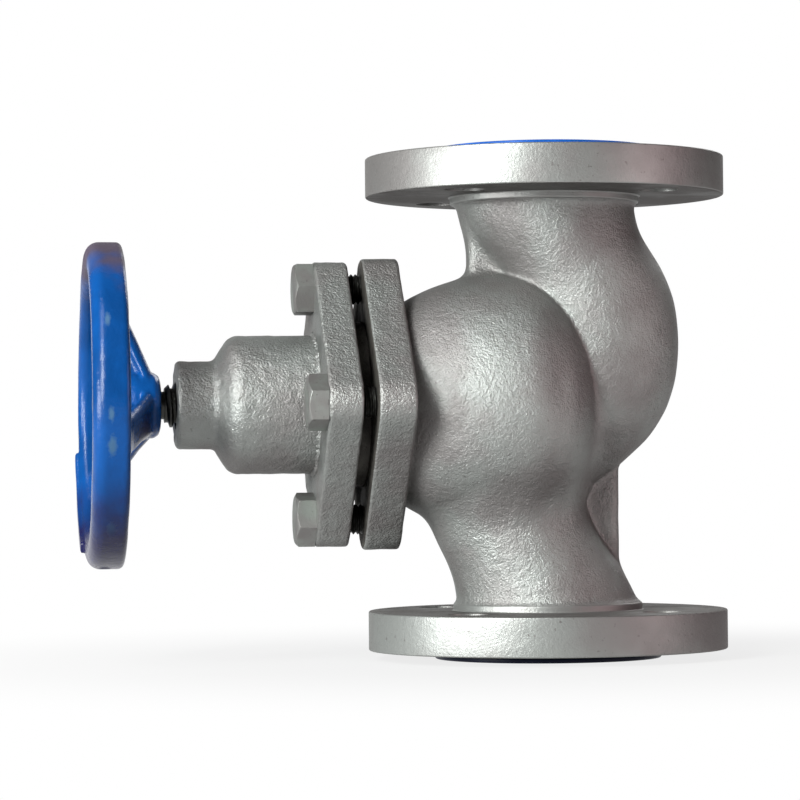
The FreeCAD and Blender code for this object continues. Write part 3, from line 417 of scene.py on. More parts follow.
def box_field(x, y, half_x, half_y, corner):
    """Distance to a rectangle with rounded corners."""
    over_x, over_y = np.abs(x) - half_x + corner, np.abs(y) - half_y + corner
    outside = np.hypot(np.maximum(over_x, 0), np.maximum(over_y, 0))
    return outside + np.minimum(np.maximum(over_x, over_y), 0) - corner


def slab(flat, along, start, end, edge):
    """A flat shape's field pushed out between two places, with rounded edges."""
    over = np.abs(along - (start + end) / 2) - (end - start) / 2 + edge
    flat = flat + edge
    outside = np.hypot(np.maximum(flat, 0), np.maximum(over, 0))
    return outside + np.minimum(np.maximum(flat, over), 0) - edge


def polygon_field(x, y, corners):
    """Distance to a closed outline of straight sides."""
    shape = np.broadcast(x, y).shape
    best = np.full(shape, np.inf, np.float32)
    inside = np.zeros(shape, bool)
    for (ax, ay), (bx, by) in zip(corners, corners[1:] + corners[:1]):
        ex, ey = bx - ax, by - ay
        wx, wy = x - ax, y - ay
        t = np.clip((wx * ex + wy * ey) / (ex * ex + ey * ey), 0, 1)
        best = np.minimum(best, (wx - ex * t) ** 2 + (wy - ey * t) ** 2)
        crosses = (ay > y) != (by > y)
        if ey:
            inside ^= crosses & (x < ex * (y - ay) / ey + ax)
    return np.where(inside, -1, 1) * np.sqrt(best)


def wobble(axes, size, seed):
    """Smooth noise between -1 and 1 over a box of cells."""
    weights, shape = [], []
    for axis in axes:
        place = (axis - axis[0]) / size
        low = np.floor(place).astype(int)
        t = place - low
        table = np.zeros((len(axis), low.max() + 4))
        rows = np.arange(len(axis))
        parts = (
            (1 - t) ** 3,
            3 * t ** 3 - 6 * t ** 2 + 4,
            -3 * t ** 3 + 3 * t ** 2 + 3 * t + 1,
            t ** 3,
        )
        for i, part in enumerate(parts):
            table[rows, low + i] = part / 6
        weights.append(table)
        shape.append(table.shape[1])
    field = np.random.default_rng(seed).uniform(-2.2, 2.2, shape)
    for table in weights:
        field = np.moveaxis(np.tensordot(table, field, axes=(1, 0)), 0, -1)
    return field


def skin(field_of, low, high, step):
    """The surface where a field is zero inside a box, as (points, faces)."""
    axes = [np.arange(a, b + step, step) for a, b in zip(low, high)]
    x, y, z = axes[0][:, None, None], axes[1][None, :, None], axes[2][None, None, :]
    field = np.ascontiguousarray(field_of(x, y, z, axes), dtype=np.float32)
    grid = openvdb.FloatGrid(background=float(step * 3))
    grid.copyFromArray(field)
    points, quads = grid.convertToQuads()
    return points * step + np.array(low), quads


def tube_field(x, y, z, stations):
    """Field of a cast passage through level circles of (height, shift along X, radius)."""
    heights, shifts, radii = zip(*sorted(stations))
    levels = z.ravel()
    shift, lean = (part[None, None, :] for part in spline(heights, shifts)(levels))
    radius, flare = (part[None, None, :] for part in spline(heights, radii)(levels))
    out = np.hypot(x - shift, y)
    slope = flare + lean * (x - shift) / np.maximum(out, 1)
    return (out - radius) / np.sqrt(1 + slope * slope)


UPPER_PASSAGE = [(91.5, 0, 41), (80, 3.2, 40.2), (60, 16, 38.6), (27.5, 23.7, 38), (0, 23, 34),
                 (-20, 20, 23.5), (-37, 17, 6)]
LOWER_PASSAGE = [(-91.5, 0, 41.5), (-80, -4, 39.8), (-62, -13.6, 37.8), (-40, -22.5, 37.4),
                 (-20, -27, 36)]


DOME_MIDDLE, DOME_RADIUS, DOME_BACK, DOME_FRONT = 17, 60, 41.0, 78.0


def casting_field(x, y, z, axes):
    """Field of the valve body's casting without its flanges, with the stem axis at height zero."""
    stretch = np.where(x > -DOME_MIDDLE, DOME_BACK, DOME_FRONT)
    u, v, w = (x + DOME_MIDDLE) / stretch, y / DOME_RADIUS, z / DOME_RADIUS
    size = np.sqrt(u * u + v * v + w * w)
    lean = np.sqrt((u / stretch) ** 2 + (v / DOME_RADIUS) ** 2 + (w / DOME_RADIUS) ** 2)
    dome = size * (size - 1) / np.maximum(lean, 1e-6)
    dome = trim(dome, -x - 72, 1.0)
    lower = trim(tube_field(x, y, z, LOWER_PASSAGE), z + 14, 6.0)
    upper = trim(tube_field(x, y, z, UPPER_PASSAGE), -38 - z, 5.0)
    body = join(dome, lower, 3.5 + (sizes().neck_blend / MM - 3.5) * np.clip((x + 58) / 22, 0, 1))
    crease = sizes().crease_blend / MM + 9 * np.clip((14 - z) / 40, 0, 1)
    body = join(body, upper, crease)
    body = body + 1.1 * np.exp(-((x + 3) / 5) ** 2 - ((z - 4) / 17) ** 2)
    upper_web = trim(box_field(x + 16.5, y, 20, 6, 4), -z, 1.0)
    lower_web = trim(box_field(x - 13.2, y, 20, 6, 4), z, 1.0)
    body = join(body, upper_web, 6.0)
    body = join(body, lower_web, 1.2 + 3 * np.clip((-60 - z) / 20, 0, 1))
    across = (y + z) / math.sqrt(2), (y - z) / math.sqrt(2)
    plate = slab(box_field(*across, 50.8, 50.8, 13.7), -x, 69.4, 85.6, 1.5)
    body = join(body, plate, 3.0)
    collar = slab(np.hypot(x, y) - 43.1, np.abs(z), 92.0, 97.0, 0.4)
    body = join(body, collar, 3.5)
    body = np.maximum(body, np.abs(z) - 96)
    grain = wobble(axes, 5.0, 11) * 0.13 + wobble(axes, 14.0, 12) * 0.16
    return np.maximum(body + grain, -np.maximum(np.hypot(y, z) - RING_BORE, x + 5.0))


def wheel_field(along, towards, over, axes):
    """Field of the handwheel, with the first spoke pointing along the second axis."""
    reach = np.hypot(towards, over)
    outside = sizes().wheel_diameter / MM / 2
    middle_r, middle_a = outside - 6.5, 203.55
    dr, da = reach - middle_r, along - middle_a
    corner = np.where(dr > 0, np.where(da > 0, 6.2, 2.4), 4.0)
    rim = box_field(da, dr, 8.15, 6.5, corner)
    hub = polygon_field(along, reach, [
        (WHEEL_BACK, -5), (WHEEL_BACK, 11.2), (178.8, 13.4), (181, 14.8), (189.5, 14.8),
        (HUB_FACE, 12.5), (HUB_FACE, -5)])
    lean = 0.92
    wheel = None
    for i in range(3):
        turn = FULL_TURN / 3 * i
        out = towards * math.cos(turn) + over * math.sin(turn)
        side = over * math.cos(turn) - towards * math.sin(turn)
        back = np.interp(out, (0, 13, 38, 66), (181, 181.6, 192.2, 199.5))
        front = np.interp(out, (0, 13, 38, 66), (197, 197, 202, 206))
        width = 9.2 + 1.8 * np.clip((24 - out) / 14, 0, 1)
        plate = box_field(side, (along - back - 2.7) * lean, width, 2.5, 1.0)
        bevel = (np.abs(side) - width + (back - along) * lean + 2.4) / math.sqrt(2)
        plate = trim(plate, bevel, 0.8)
        rib_middle, rib_depth = (back + front) / 2 + 1, (front - back) / 2 - 1
        rib = box_field(side, (along - rib_middle) * lean, 0.55 * width, rib_depth, 1.2)
        spoke = np.maximum(join(plate, rib, 2.6), np.maximum(-out, out - 67))
        wheel = spoke if wheel is None else np.minimum(wheel, spoke)
    wheel = join(wheel, hub - 0.2, 1.2)
    wheel = join(wheel, rim, 3.5)
    pad_turn = math.radians(128)
    facing = np.arctan2(over, towards) - pad_turn
    facing = np.abs((facing + math.pi) % FULL_TURN - math.pi)
    pad = slab(np.maximum(np.abs(reach - 67.5) - 2.5, (facing - math.radians(27)) * 67.5), along,
               209.0, 213.4, 0.5)
    wheel = join(wheel, pad, 0.8)
    hole = np.maximum(np.abs(towards), np.abs(over)) - 5.6
    wheel = np.maximum(wheel, -hole)
    return wheel + wobble(axes, 7.0, 21) * 0.10 + wobble(axes, 22.0, 22) * 0.18


# Finishes


class Finish:
    """A material's node tree with short ways to add and join nodes."""

    def __init__(self, name):
        self.material = bpy.data.materials.new(name)
        self.material.use_nodes = True
        self.tree = self.material.node_tree
        self.tree.nodes.clear()
        self.column = 0

    def add(self, kind, **settings):
        node = self.tree.nodes.new(kind)
        node.location = (self.column * 220, 0)
        self.column += 1
        for key, value in settings.items():
            setattr(node, key, value)
        return node

    def join(self, source, target):
        self.tree.links.new(source, target)

    def place(self):
        """Places on the surface in metres."""
        return self.add("ShaderNodeTexCoord").outputs["Object"]

    def effect(self, group, place, **values):
        """A shared effect with this finish's own values."""
        node = self.add("ShaderNodeGroup", node_tree=group)
        self.join(place, node.inputs["Place"])
        for key, value in values.items():
            node.inputs[key.replace("_", " ")].default_value = value
        return node

    def mix(self, share, first, second):
        """A colour between two, each a colour or a socket."""
        node = self.add("ShaderNodeMix", data_type="RGBA")
        self.join(share, node.inputs[0])
        for value, socket in ((first, node.inputs[6]), (second, node.inputs[7])):
            if isinstance(value, bpy.types.NodeSocket):
                self.join(value, socket)
            else:
                socket.default_value = (*value, 1)
        return node.outputs[2]

    def larger(self, first, second):
        """The larger of two numbers."""
        node = self.add("ShaderNodeMath", operation="MAXIMUM")
        self.join(first, node.inputs[0])
        self.join(second, node.inputs[1])
        return node.outputs[0]

    def between(self, share, low, high):
        """A number that runs from low to high with a share."""
        node = self.add("ShaderNodeMapRange")
        self.join(share, node.inputs["Value"])
        node.inputs["To Min"].default_value = low
        node.inputs["To Max"].default_value = high
        return node.outputs["Result"]

    def seen(self):
        """1 where the camera looks straight at the surface, in a mirror or through glass."""
        path = self.add("ShaderNodeLightPath")
        rays = path.outputs["Is Camera Ray"]
        for name in ("Is Glossy Ray", "Is Transmission Ray"):
            total = self.add("ShaderNodeMath", operation="ADD", use_clamp=True)
            self.join(rays, total.inputs[0])
            self.join(path.outputs[name], total.inputs[1])
            rays = total.outputs[0]
        return rays

    def glow(self, colour):
        """Light of strength 1."""
        node = self.add("ShaderNodeEmission")
        node.inputs["Color"].default_value = (*colour, 1)
        return node

    def blend(self, share, first, second):
        """Two surfaces by a share, as the material's surface."""
        mix = self.add("ShaderNodeMixShader")
        self.join(share, mix.inputs[0])
        self.join(first.outputs[0], mix.inputs[1])
        self.join(second.outputs[0], mix.inputs[2])
        self.join(mix.outputs[0], self.add("ShaderNodeOutputMaterial").inputs["Surface"])

    def shader(self, colour, roughness, metallic, height, distance, specular=0.5, edge=1.0):
        """The surface itself."""
        surface = self.add("ShaderNodeBsdfPrincipled")
        output = self.add("ShaderNodeOutputMaterial")
        self.join(surface.outputs["BSDF"], output.inputs["Surface"])
        self.join(colour, surface.inputs["Base Color"])
        self.join(roughness, surface.inputs["Roughness"])
        surface.inputs["Metallic"].default_value = metallic
        surface.inputs["Specular IOR Level"].default_value = specular
        surface.inputs["Specular Tint"].default_value = (edge, edge, edge, 1)
        bump = self.add("ShaderNodeBump")
        bump.inputs["Distance"].default_value = distance
        self.join(height, bump.inputs["Height"])
        self.join(bump.outputs["Normal"], surface.inputs["Normal"])
        return self.material


def effect_group(name, inputs, outputs):
    """An empty shared effect with named inputs and outputs."""
    group = bpy.data.node_groups.new(name, "ShaderNodeTree")
    group.interface.new_socket("Place", in_out="INPUT", socket_type="NodeSocketVector")
    for label, value in inputs.items():
        socket = group.interface.new_socket(label, in_out="INPUT", socket_type="NodeSocketFloat")
        socket.default_value = value
    for label in outputs:
        group.interface.new_socket(label, in_out="OUTPUT", socket_type="NodeSocketFloat")
    start, end = group.nodes.new("NodeGroupInput"), group.nodes.new("NodeGroupOutput")
    start.location, end.location = (-600, 0), (900, 0)
    return group, start, end


def group_math(group, operation, first, second=None, clamp=False):
    """A sum inside a shared effect; each value is a number or a socket."""
    node = group.nodes.new("ShaderNodeMath")
    node.operation, node.use_clamp = operation, clamp
    for value, socket in zip((first, second), node.inputs):
        if isinstance(value, bpy.types.NodeSocket):
            group.links.new(value, socket)
        elif value is not None:
            socket.default_value = value
    return node.outputs[0]


def group_noise(group, place, scale, detail, roughness=0.5):
    """A noise inside a shared effect."""
    node = group.nodes.new("ShaderNodeTexNoise")
    group.links.new(place, node.inputs["Vector"])
    if isinstance(scale, bpy.types.NodeSocket):
        group.links.new(scale, node.inputs["Scale"])
    else:
        node.inputs["Scale"].default_value = scale
    node.inputs["Detail"].default_value = detail
    node.inputs["Roughness"].default_value = roughness
    return node.outputs["Fac"]


def group_steps(group, value, low, high):
    """A value pressed between two limits to 0 and 1."""
    node = group.nodes.new("ShaderNodeMapRange")
    node.interpolation_type = "SMOOTHSTEP"
    group.links.new(value, node.inputs["Value"])
    for limit, name in ((low, "From Min"), (high, "From Max")):
        if isinstance(limit, bpy.types.NodeSocket):
            group.links.new(limit, node.inputs[name])
        else:
            node.inputs[name].default_value = limit
    return node.outputs["Result"]


def sand_grain_group():
    """Grain that a sand mould leaves under paint: height, and a mask of its pits."""
    group, start, end = effect_group("Sand grain", {"Grain": 620, "Pits": 0.35}, ["Height", "Pitted"])
    place, grain = start.outputs["Place"], start.outputs["Grain"]
    lumps = group_noise(group, place, grain, 3.0, 0.6)
    coarse = group_noise(group, place, group_math(group, "MULTIPLY", grain, 0.3), 1.0)
    pits = group_noise(group, place, group_math(group, "MULTIPLY", grain, 0.55), 1.0)
    pitted = group_steps(group, pits, 0.31, 0.22)
    height = group_math(group, "ADD", lumps, group_math(group, "MULTIPLY", coarse, 0.8))
    deep = group_math(group, "MULTIPLY", pitted, start.outputs["Pits"])
    height = group_math(group, "SUBTRACT", height, deep)
    group.links.new(height, end.inputs["Height"])
    group.links.new(pitted, end.inputs["Pitted"])
    return group


def patches_group():
    """Uneven paint and handling marks: a soft cloud mask and a sharper one of bare patches."""
    group, start, end = effect_group("Patches", {"Size": 30, "Bare": 0.62}, ["Cloud", "Worn"])
    place, size = start.outputs["Place"], start.outputs["Size"]
    cloud = group_noise(group, place, size, 3.0, 0.55)
    rough = group_noise(group, place, group_math(group, "MULTIPLY", size, 3.3), 5.0, 0.65)
    blend = group_math(group, "ADD", group_math(group, "MULTIPLY", cloud, 0.7),
                       group_math(group, "MULTIPLY", rough, 0.3))
    edge = group_math(group, "ADD", start.outputs["Bare"], 0.025)
    group.links.new(group_steps(group, cloud, 0.35, 0.65), end.inputs["Cloud"])
    group.links.new(group_steps(group, blend, start.outputs["Bare"], edge), end.inputs["Worn"])
    return group


def tool_lines_group():
    """Fine lines that a turning tool leaves across one axis."""
    group, start, end = effect_group("Tool lines", {"Lines": 2200, "Waver": 0.3}, ["Height"])
    stretch = group.nodes.new("ShaderNodeMapping")
    stretch.inputs["Scale"].default_value = (0.02, 0.02, 1)
    group.links.new(start.outputs["Place"], stretch.inputs["Vector"])
    lines = group_noise(group, stretch.outputs["Vector"], start.outputs["Lines"], 2.0, 0.7)
    soft = group_noise(group, start.outputs["Place"], 90, 2.0)
    height = group_math(group, "ADD", lines,
                        group_math(group, "MULTIPLY", soft, start.outputs["Waver"]))
    group.links.new(height, end.inputs["Height"])
    return group


def rub_and_shade_group():
    """A ragged mask of one spot, twice as long as wide along the rim: rubbed places, and one spot of
    painted shade at the hub.
    """
    group, start, end = effect_group("Rub and shade spot", {"Reach": 0.006}, ["Mask"])
    centre = group.interface.new_socket("Centre", in_out="INPUT", socket_type="NodeSocketVector")
    apart = group.nodes.new("ShaderNodeVectorMath")
    apart.operation = "SUBTRACT"
    group.links.new(start.outputs["Place"], apart.inputs[0])
    group.links.new(start.outputs[centre.name], apart.inputs[1])
    narrow = group.nodes.new("ShaderNodeVectorMath")
    narrow.operation = "MULTIPLY"
    narrow.inputs[1].default_value = (2.2, 1, 1)
    group.links.new(apart.outputs[0], narrow.inputs[0])
    length = group.nodes.new("ShaderNodeVectorMath")
    length.operation = "LENGTH"
    group.links.new(narrow.outputs[0], length.inputs[0])
    ragged = group_noise(group, start.outputs["Place"], 420, 4.0, 0.65)
    reach = group_math(group, "MULTIPLY", start.outputs["Reach"],
                       group_math(group, "ADD", group_math(group, "MULTIPLY", ragged, 1.8), 0.1))
    inner = group_math(group, "MULTIPLY", reach, 0.25)
    group.links.new(group_steps(group, length.outputs["Value"], reach, inner), end.inputs["Mask"])
    return group


def effects():
    """The shared effects, built once."""
    made = {"Sand grain": sand_grain_group, "Patches": patches_group, "Tool lines": tool_lines_group,
            "Rub and shade spot": rub_and_shade_group}
    return {name: bpy.data.node_groups.get(name) or build() for name, build in made.items()}


METAL_SHARE = 0.68


def silver_finish(name, grain, depth, paint, shade, pits=0.1, size=26, roughness=(0.35, 0.47)):
    """Aluminium paint over cast iron or steel."""
    if name in bpy.data.materials:
        return bpy.data.materials[name]
    shared = effects()
    finish = Finish(name)
    place = finish.place()
    cast = finish.effect(shared["Sand grain"], place, Grain=grain, Pits=pits)
    cloud = finish.effect(shared["Patches"], place, Size=size)
    colour = finish.mix(cloud.outputs["Cloud"], tuple(paint), tuple(shade))
    colour = finish.mix(cast.outputs["Pitted"], colour, tuple(c * 0.8 for c in shade))
    rough = finish.between(cloud.outputs["Cloud"], *roughness)
    return finish.shader(colour, rough, METAL_SHARE, cast.outputs["Height"], depth,
                         specular=0.3, edge=0.35)


def casting_paint():
    tint = colours()
    return silver_finish("Cast skin paint", 1250, 0.00048, tint.silver_paint, tint.silver_shade)


def coarse_casting_paint():
    tint = colours()
    return silver_finish("Coarse cast skin paint", 1050, 0.0006, tint.silver_paint, tint.silver_shade,
                         pits=0.15)


def flange_paint():
    tint = colours()
    return silver_finish("Flange paint", 900, 0.00014, tint.silver_paint, tint.silver_shade,
                         pits=0.05, size=18, roughness=(0.40, 0.50))


def flange_back_shade_paint():
    """Painted shade: darker, duller paint on the back faces of the end flanges, standing in for the
    shade there.
    """
    return silver_finish("Flange back paint", 900, 0.0002, (0.15, 0.147, 0.142), (0.11, 0.104, 0.10),
                         size=40, roughness=(0.48, 0.58))


def bolt_paint():
    tint = colours()
    return silver_finish("Bolt paint", 900, 0.00008, tint.bolt_paint, tint.silver_shade,
                         pits=0.05, size=60)


def joint_iron_shade():
    """Unpainted, oiled iron between the two square flanges, darkened further as painted shade in the
    joint.
    """
    return silver_finish("Bare joint iron", 700, 0.00025, (0.10, 0.095, 0.085), (0.05, 0.046, 0.042),
                         pits=0.3, size=60, roughness=(0.5, 0.65))


def darken_joint(piece, place):
    """Give the face of a flange that looks into the joint the dark joint finish: bare iron and painted
    shade.
    """
    mesh = piece.data
    mesh.materials.append(joint_iron_shade())
    for face in mesh.polygons:
        if abs(-face.center.x / MM - place) < 0.4:
            face.material_index = 1


def metal_finish(name, colour, roughness, lines=2200, depth=0.00004):
    """Bare turned metal."""
    if name in bpy.data.materials:
        return bpy.data.materials[name]
    shared = effects()
    finish = Finish(name)
    place = finish.place()
    turned = finish.effect(shared["Tool lines"], place, Lines=lines)
    cloud = finish.effect(shared["Patches"], place, Size=80)
    tone = finish.mix(cloud.outputs["Cloud"], tuple(colour), tuple(c * 0.8 for c in colour))
    rough = finish.between(cloud.outputs["Cloud"], roughness, roughness + 0.12)
    return finish.shader(tone, rough, 1.0, turned.outputs["Height"], depth)


WHEEL_RUBS = [
    ((-203.6, -71.6, 98.4), 6.0), ((-205.0, -64.2, 153.7), 4.0), ((-204.0, -73.8, 112.3), 4.0),
    ((-203.0, -49.0, 61.6), 6.5), ((-204.0, -12.0, 190.0), 9.0), ((-204.0, -10.0, 44.0), 9.0),
]


def wheel_paint():
    """Blue gloss paint over cast iron, rubbed through in patches, with painted shade at the wheel's
    foot and on the lower hub.
    """
    if "Wheel gloss paint" in bpy.data.materials:
        return bpy.data.materials["Wheel gloss paint"]
    shared, tint = effects(), colours()
    finish = Finish("Wheel gloss paint")
    place = finish.place()
    skin_grain = finish.effect(shared["Sand grain"], place, Grain=420, Pits=0.08)
    marks = finish.effect(shared["Patches"], place, Size=34, Bare=0.66)
    colour = finish.mix(marks.outputs["Cloud"], tuple(tint.wheel_paint),
                        tuple(c * 0.7 for c in tint.wheel_paint))
    worn = marks.outputs["Worn"]
    for centre, reach in WHEEL_RUBS:
        rub = finish.effect(shared["Rub and shade spot"], place, Centre=[c * MM for c in centre], Reach=reach * MM)
        worn = finish.larger(worn, rub.outputs["Mask"])
    colour = finish.mix(worn, colour, tuple(tint.wheel_bare))
    # Painted shade: the lower hub and the back of the near spoke are darkened.
    hub_shade = finish.effect(shared["Rub and shade spot"], place, Centre=(-0.187, -0.018, 0.102), Reach=0.019)
    colour = finish.mix(hub_shade.outputs["Mask"], colour, tuple(tint.wheel_painted_shade))
    far = finish.add("ShaderNodeSeparateXYZ")
    finish.join(place, far.inputs[0])
    ragged = finish.add("ShaderNodeMath", operation="MULTIPLY_ADD")
    finish.join(marks.outputs["Cloud"], ragged.inputs[0])
    ragged.inputs[1].default_value = 0.012
    finish.join(far.outputs["Z"], ragged.inputs[2])
    # Painted shade: darker towards the wheel's foot, where the rim faces down; towards the top the
    # paint turns greyer and duller.
    for low, high, band_colour in ((-0.028, -0.054, tint.wheel_painted_shade), (0.058, 0.074, tint.wheel_top_tone)):
        height_band = finish.add("ShaderNodeMapRange", interpolation_type="SMOOTHSTEP")
        height_band.inputs["From Min"].default_value = STEM_HEIGHT * MM + low
        height_band.inputs["From Max"].default_value = STEM_HEIGHT * MM + high
        finish.join(ragged.outputs[0], height_band.inputs["Value"])
        colour = finish.mix(height_band.outputs["Result"], colour, tuple(band_colour))
    worn = finish.larger(worn, height_band.outputs["Result"])
    rough = finish.between(worn, 0.24, 0.6)
    return finish.shader(colour, rough, 0.0, skin_grain.outputs["Height"], 0.0002,
                         specular=0.32, edge=0.6)


def plastic_finish(name, colour):
    """Moulded plastic of the flange covers."""
    if name in bpy.data.materials:
        return bpy.data.materials[name]
    shared = effects()
    finish = Finish(name)
    place = finish.place()
    scuffs = finish.effect(shared["Patches"], place, Size=70, Bare=0.6)
    paler = tuple(min(1, c * 1.25 + 0.004) for c in colour)
    tone = finish.mix(scuffs.outputs["Cloud"], tuple(colour), paler)
    rough = finish.between(scuffs.outputs["Cloud"], 0.37, 0.41)
    return finish.shader(tone, rough, 0.0, scuffs.outputs["Cloud"], 0.00003, specular=0.12)


# Pieces


class VALVE_OT_casting(bpy.types.Operator):
    """Build the blended skin of the valve body between its flanges"""

    bl_idname = "valve.casting"
    bl_label = "Body casting"

    def execute(self, context):
        step = sizes().skin_step / MM * 1
        points, quads = skin(casting_field, (-86, -64, -97), (64.5, 64, 97), step)
        points = (points + [0, 0, STEM_HEIGHT]) * MM
        add_piece("body_casting", points, quads, casting_paint(), "valve",
                  ["body_seat_side", "body_ring_side", "body_upper_neck", "body_lower_neck"], sharp=0)
        return {"FINISHED"}


def end_flange_outline():
    """Half section of an end flange as (height, radius), raised face down."""
    outer, thick = sizes().flange_diameter / MM / 2, sizes().flange_thickness / MM
    corners = [(0, PORT), (0, RAISED_FACE), (2.0, RAISED_FACE), (2.0, outer), (thick, outer),
               (thick, COLLAR), (thick + COLLAR_HEIGHT, COLLAR), (thick + COLLAR_HEIGHT, PORT)]
    radii = [0.5, 0.3, 0.3, 0.7, 0.8, 0.8, 1.0, 0]
    return spread(rounded(corners, radii), 6.0)


class VALVE_OT_end_flanges(bpy.types.Operator):
    """Build the two end flanges with their raised faces, collars and bolt holes"""

    bl_idname = "valve.end_flanges"
    bl_label = "End flanges"

    def execute(self, context):
        for side, height, flip in (("lower", 2.0, 1), ("upper", UPPER_FACE, -1)):
            points, faces = lathe(end_flange_outline(), 256)
            piece = add_piece(f"{side}_flange_disc", upright(on_end(points, flip), height), faces,
                              flange_paint(), "valve", [f"{side}_end_flange"],
                              sharp=40)
            holes = []
            for i in range(4):
                turn = math.radians(45 + 90 * i)
                hole, hole_faces = rod(-2.0, 30.0, PORT_BOLT_HOLE)
                place = np.array([PORT_BOLTS * math.cos(turn), PORT_BOLTS * math.sin(turn), 0])
                holes.append((upright(on_end(hole, flip) + place, height), hole_faces))
            cut_with(piece, holes)
            # Painted shade: the back faces of both end flanges get the darker paint.
            piece.data.materials.append(flange_back_shade_paint())
            back = (height + flip * sizes().flange_thickness / MM) * MM
            for face in piece.data.polygons:
                if abs(face.center.z - back) < 0.0002 and face.center.xy.length > 0.045:
                    face.material_index = 1
        return {"FINISHED"}


class VALVE_OT_body_flange(bpy.types.Operator):
    """Build the square flange that the bonnet is bolted to"""

    bl_idname = "valve.body_flange"
    bl_label = "Body flange"

    def execute(self, context):
        points, faces = square_plate(BODY_BACK, BODY_FACE, half_side=51.13, corner=14.0, edge=1.5)
        piece = add_piece("body_square_flange", along_stem(points), faces, coarse_casting_paint(),
                          "valve", ["body_flange"])
        bore = rod(BODY_BACK - 1, BODY_FACE + 1, RING_BORE, 96)
        cut_with(piece, [(along_stem(bore[0]), bore[1])])
        darken_joint(piece, BODY_FACE)
        roughen(piece, amount=0.18, size=6.0, seed=3)
        return {"FINISHED"}


class VALVE_OT_bonnet(bpy.types.Operator):
    """Build the bonnet: square flange, spigot, barrel, shoulder and neck"""

    bl_idname = "valve.bonnet"
    bl_label = "Bonnet"

    def execute(self, context):
        outside = [(76, 32.9), (100, 32.9), (100, 31.5), (146.6, 31.5), (153.6, 20), (NECK_END, 20)]
        inside = [(NECK_END, 10.75), (167.1, 10.75), (167.1, 14.3), (142.1, 14.3), (142.1, 18.3),
                  (137, 18.3), (137, 26), (76, 26)]
        line = rounded(outside + inside, [0.5, 0, 0, 8, 4, 2.2, 0.5, 0, 0, 0, 0, 0, 0, 0.5], 10)
        points, faces = lathe(spread(line, 1.4), 256)
        spigot = lathe(rounded([(85.2, 33.2), (85.2, 37.5), (93.5, 37.5), (93.5, 33.2)],
                               [0.3, 0.5, 0.5, 0.3], 4), 256)
        # The spigot band in the joint is dark: bare iron and painted shade.
        add_piece("bonnet_spigot_band", along_stem(spigot[0]), spigot[1], joint_iron_shade(), "valve",
                  ["bonnet"])
        piece = add_piece("bonnet_casting", along_stem(points), faces, coarse_casting_paint(),
                          "valve", ["bonnet"])
        roughen(piece, amount=0.22, size=4.0, seed=5, keep=lambda place: float(-place.x > 0.109))
        points, faces = square_plate(BONNET_BACK, BONNET_FACE, half_side=49.6, corner=12.5, edge=1.5)
        plate = add_piece("bonnet_square_flange", along_stem(points), faces, coarse_casting_paint(),
                          "valve", ["bonnet"])
        bore = rod(91, 110, 29, 96)
        cut_with(plate, [(along_stem(bore[0]), bore[1])])
        darken_joint(plate, BONNET_BACK)
        roughen(plate, amount=0.22, size=5.0, seed=6)
        line = rounded([(107.4, 31.0), (107.4, 33.4), (109.6, 31.0)], [0.2, 0.5, 0.2], 4)
        points, faces = lathe(line, 360)
        bead = add_piece("bonnet_bead", along_stem(points), faces, coarse_casting_paint(),
                         "valve", ["bonnet"])
        roughen(bead, amount=1.1, size=1.8, seed=8)
        return {"FINISHED"}


def hexagon_head(start, height, flats, both=False):
    """A hexagon with turned-off corners on its outer end, or on both, as (points, faces)."""
    steps, count, crown = 72, 10, 0.96
    corner = flats / math.sqrt(3)
    angles = np.arange(steps) / steps * FULL_TURN
    to_flat = (angles + math.pi / 6) % (math.pi / 3) - math.pi / 6
    reach = flats / 2 / np.cos(to_flat)
    slope = math.tan(math.radians(30))
    edge = flats / 2 * crown
    rings = []

    def band(radius_limit, along):
        radius = np.minimum(reach, radius_limit)
        level = np.full(steps, along)
        rings.append(np.column_stack([level, radius * np.cos(angles), radius * np.sin(angles)]))

    depth = (corner - edge) * slope
    if both:
        for i in range(count + 1):
            band(edge + (corner - edge) * i / count, start + depth * i / count)
    else:
        band(corner, start)
    for i in range(count + 1):
        band(corner - (corner - edge) * i / count, start + height - depth * (1 - i / count))
    return np.vstack(rings), ring_faces(len(rings), steps, capped=True)


BOLT_PLACES = {
    "top": (0, BONNET_BOLTS, -25),
    "near": (BONNET_BOLTS, 0, -7),
    "bottom": (0, -BONNET_BOLTS, 14),
    "far": (-BONNET_BOLTS, 0, 5),
}


class VALVE_OT_bolts(bpy.types.Operator):
    """Build the four bonnet bolts with painted heads and bare threads in the gap"""

    bl_idname = "valve.bolts"
    bl_label = "Bonnet bolts"

    def execute(self, context):
        pitch = sizes().bolt_pitch / MM
        for name, (across, up, turn) in BOLT_PLACES.items():
            for part, (points, faces), material in (
                ("head", hexagon_head(BONNET_FACE, height=8.8, flats=22.0), bolt_paint()),
                ("thread", screw(73.5, 108.5, crest=7.0, root=6.0, pitch=pitch, flank=0.4,
                                 phase=0.3 * up, steps=64, rise=0.2),
                 metal_finish("Bolt thread", colours().dark_thread, 0.45)),
            ):
                placed = turned(points, math.radians(turn)) + [0, across, up]
                add_piece(f"bonnet_bolt_{name}_{part}", along_stem(placed), faces, material, "valve",
                          ["bonnet_bolts"], sharp=22)
        return {"FINISHED"}


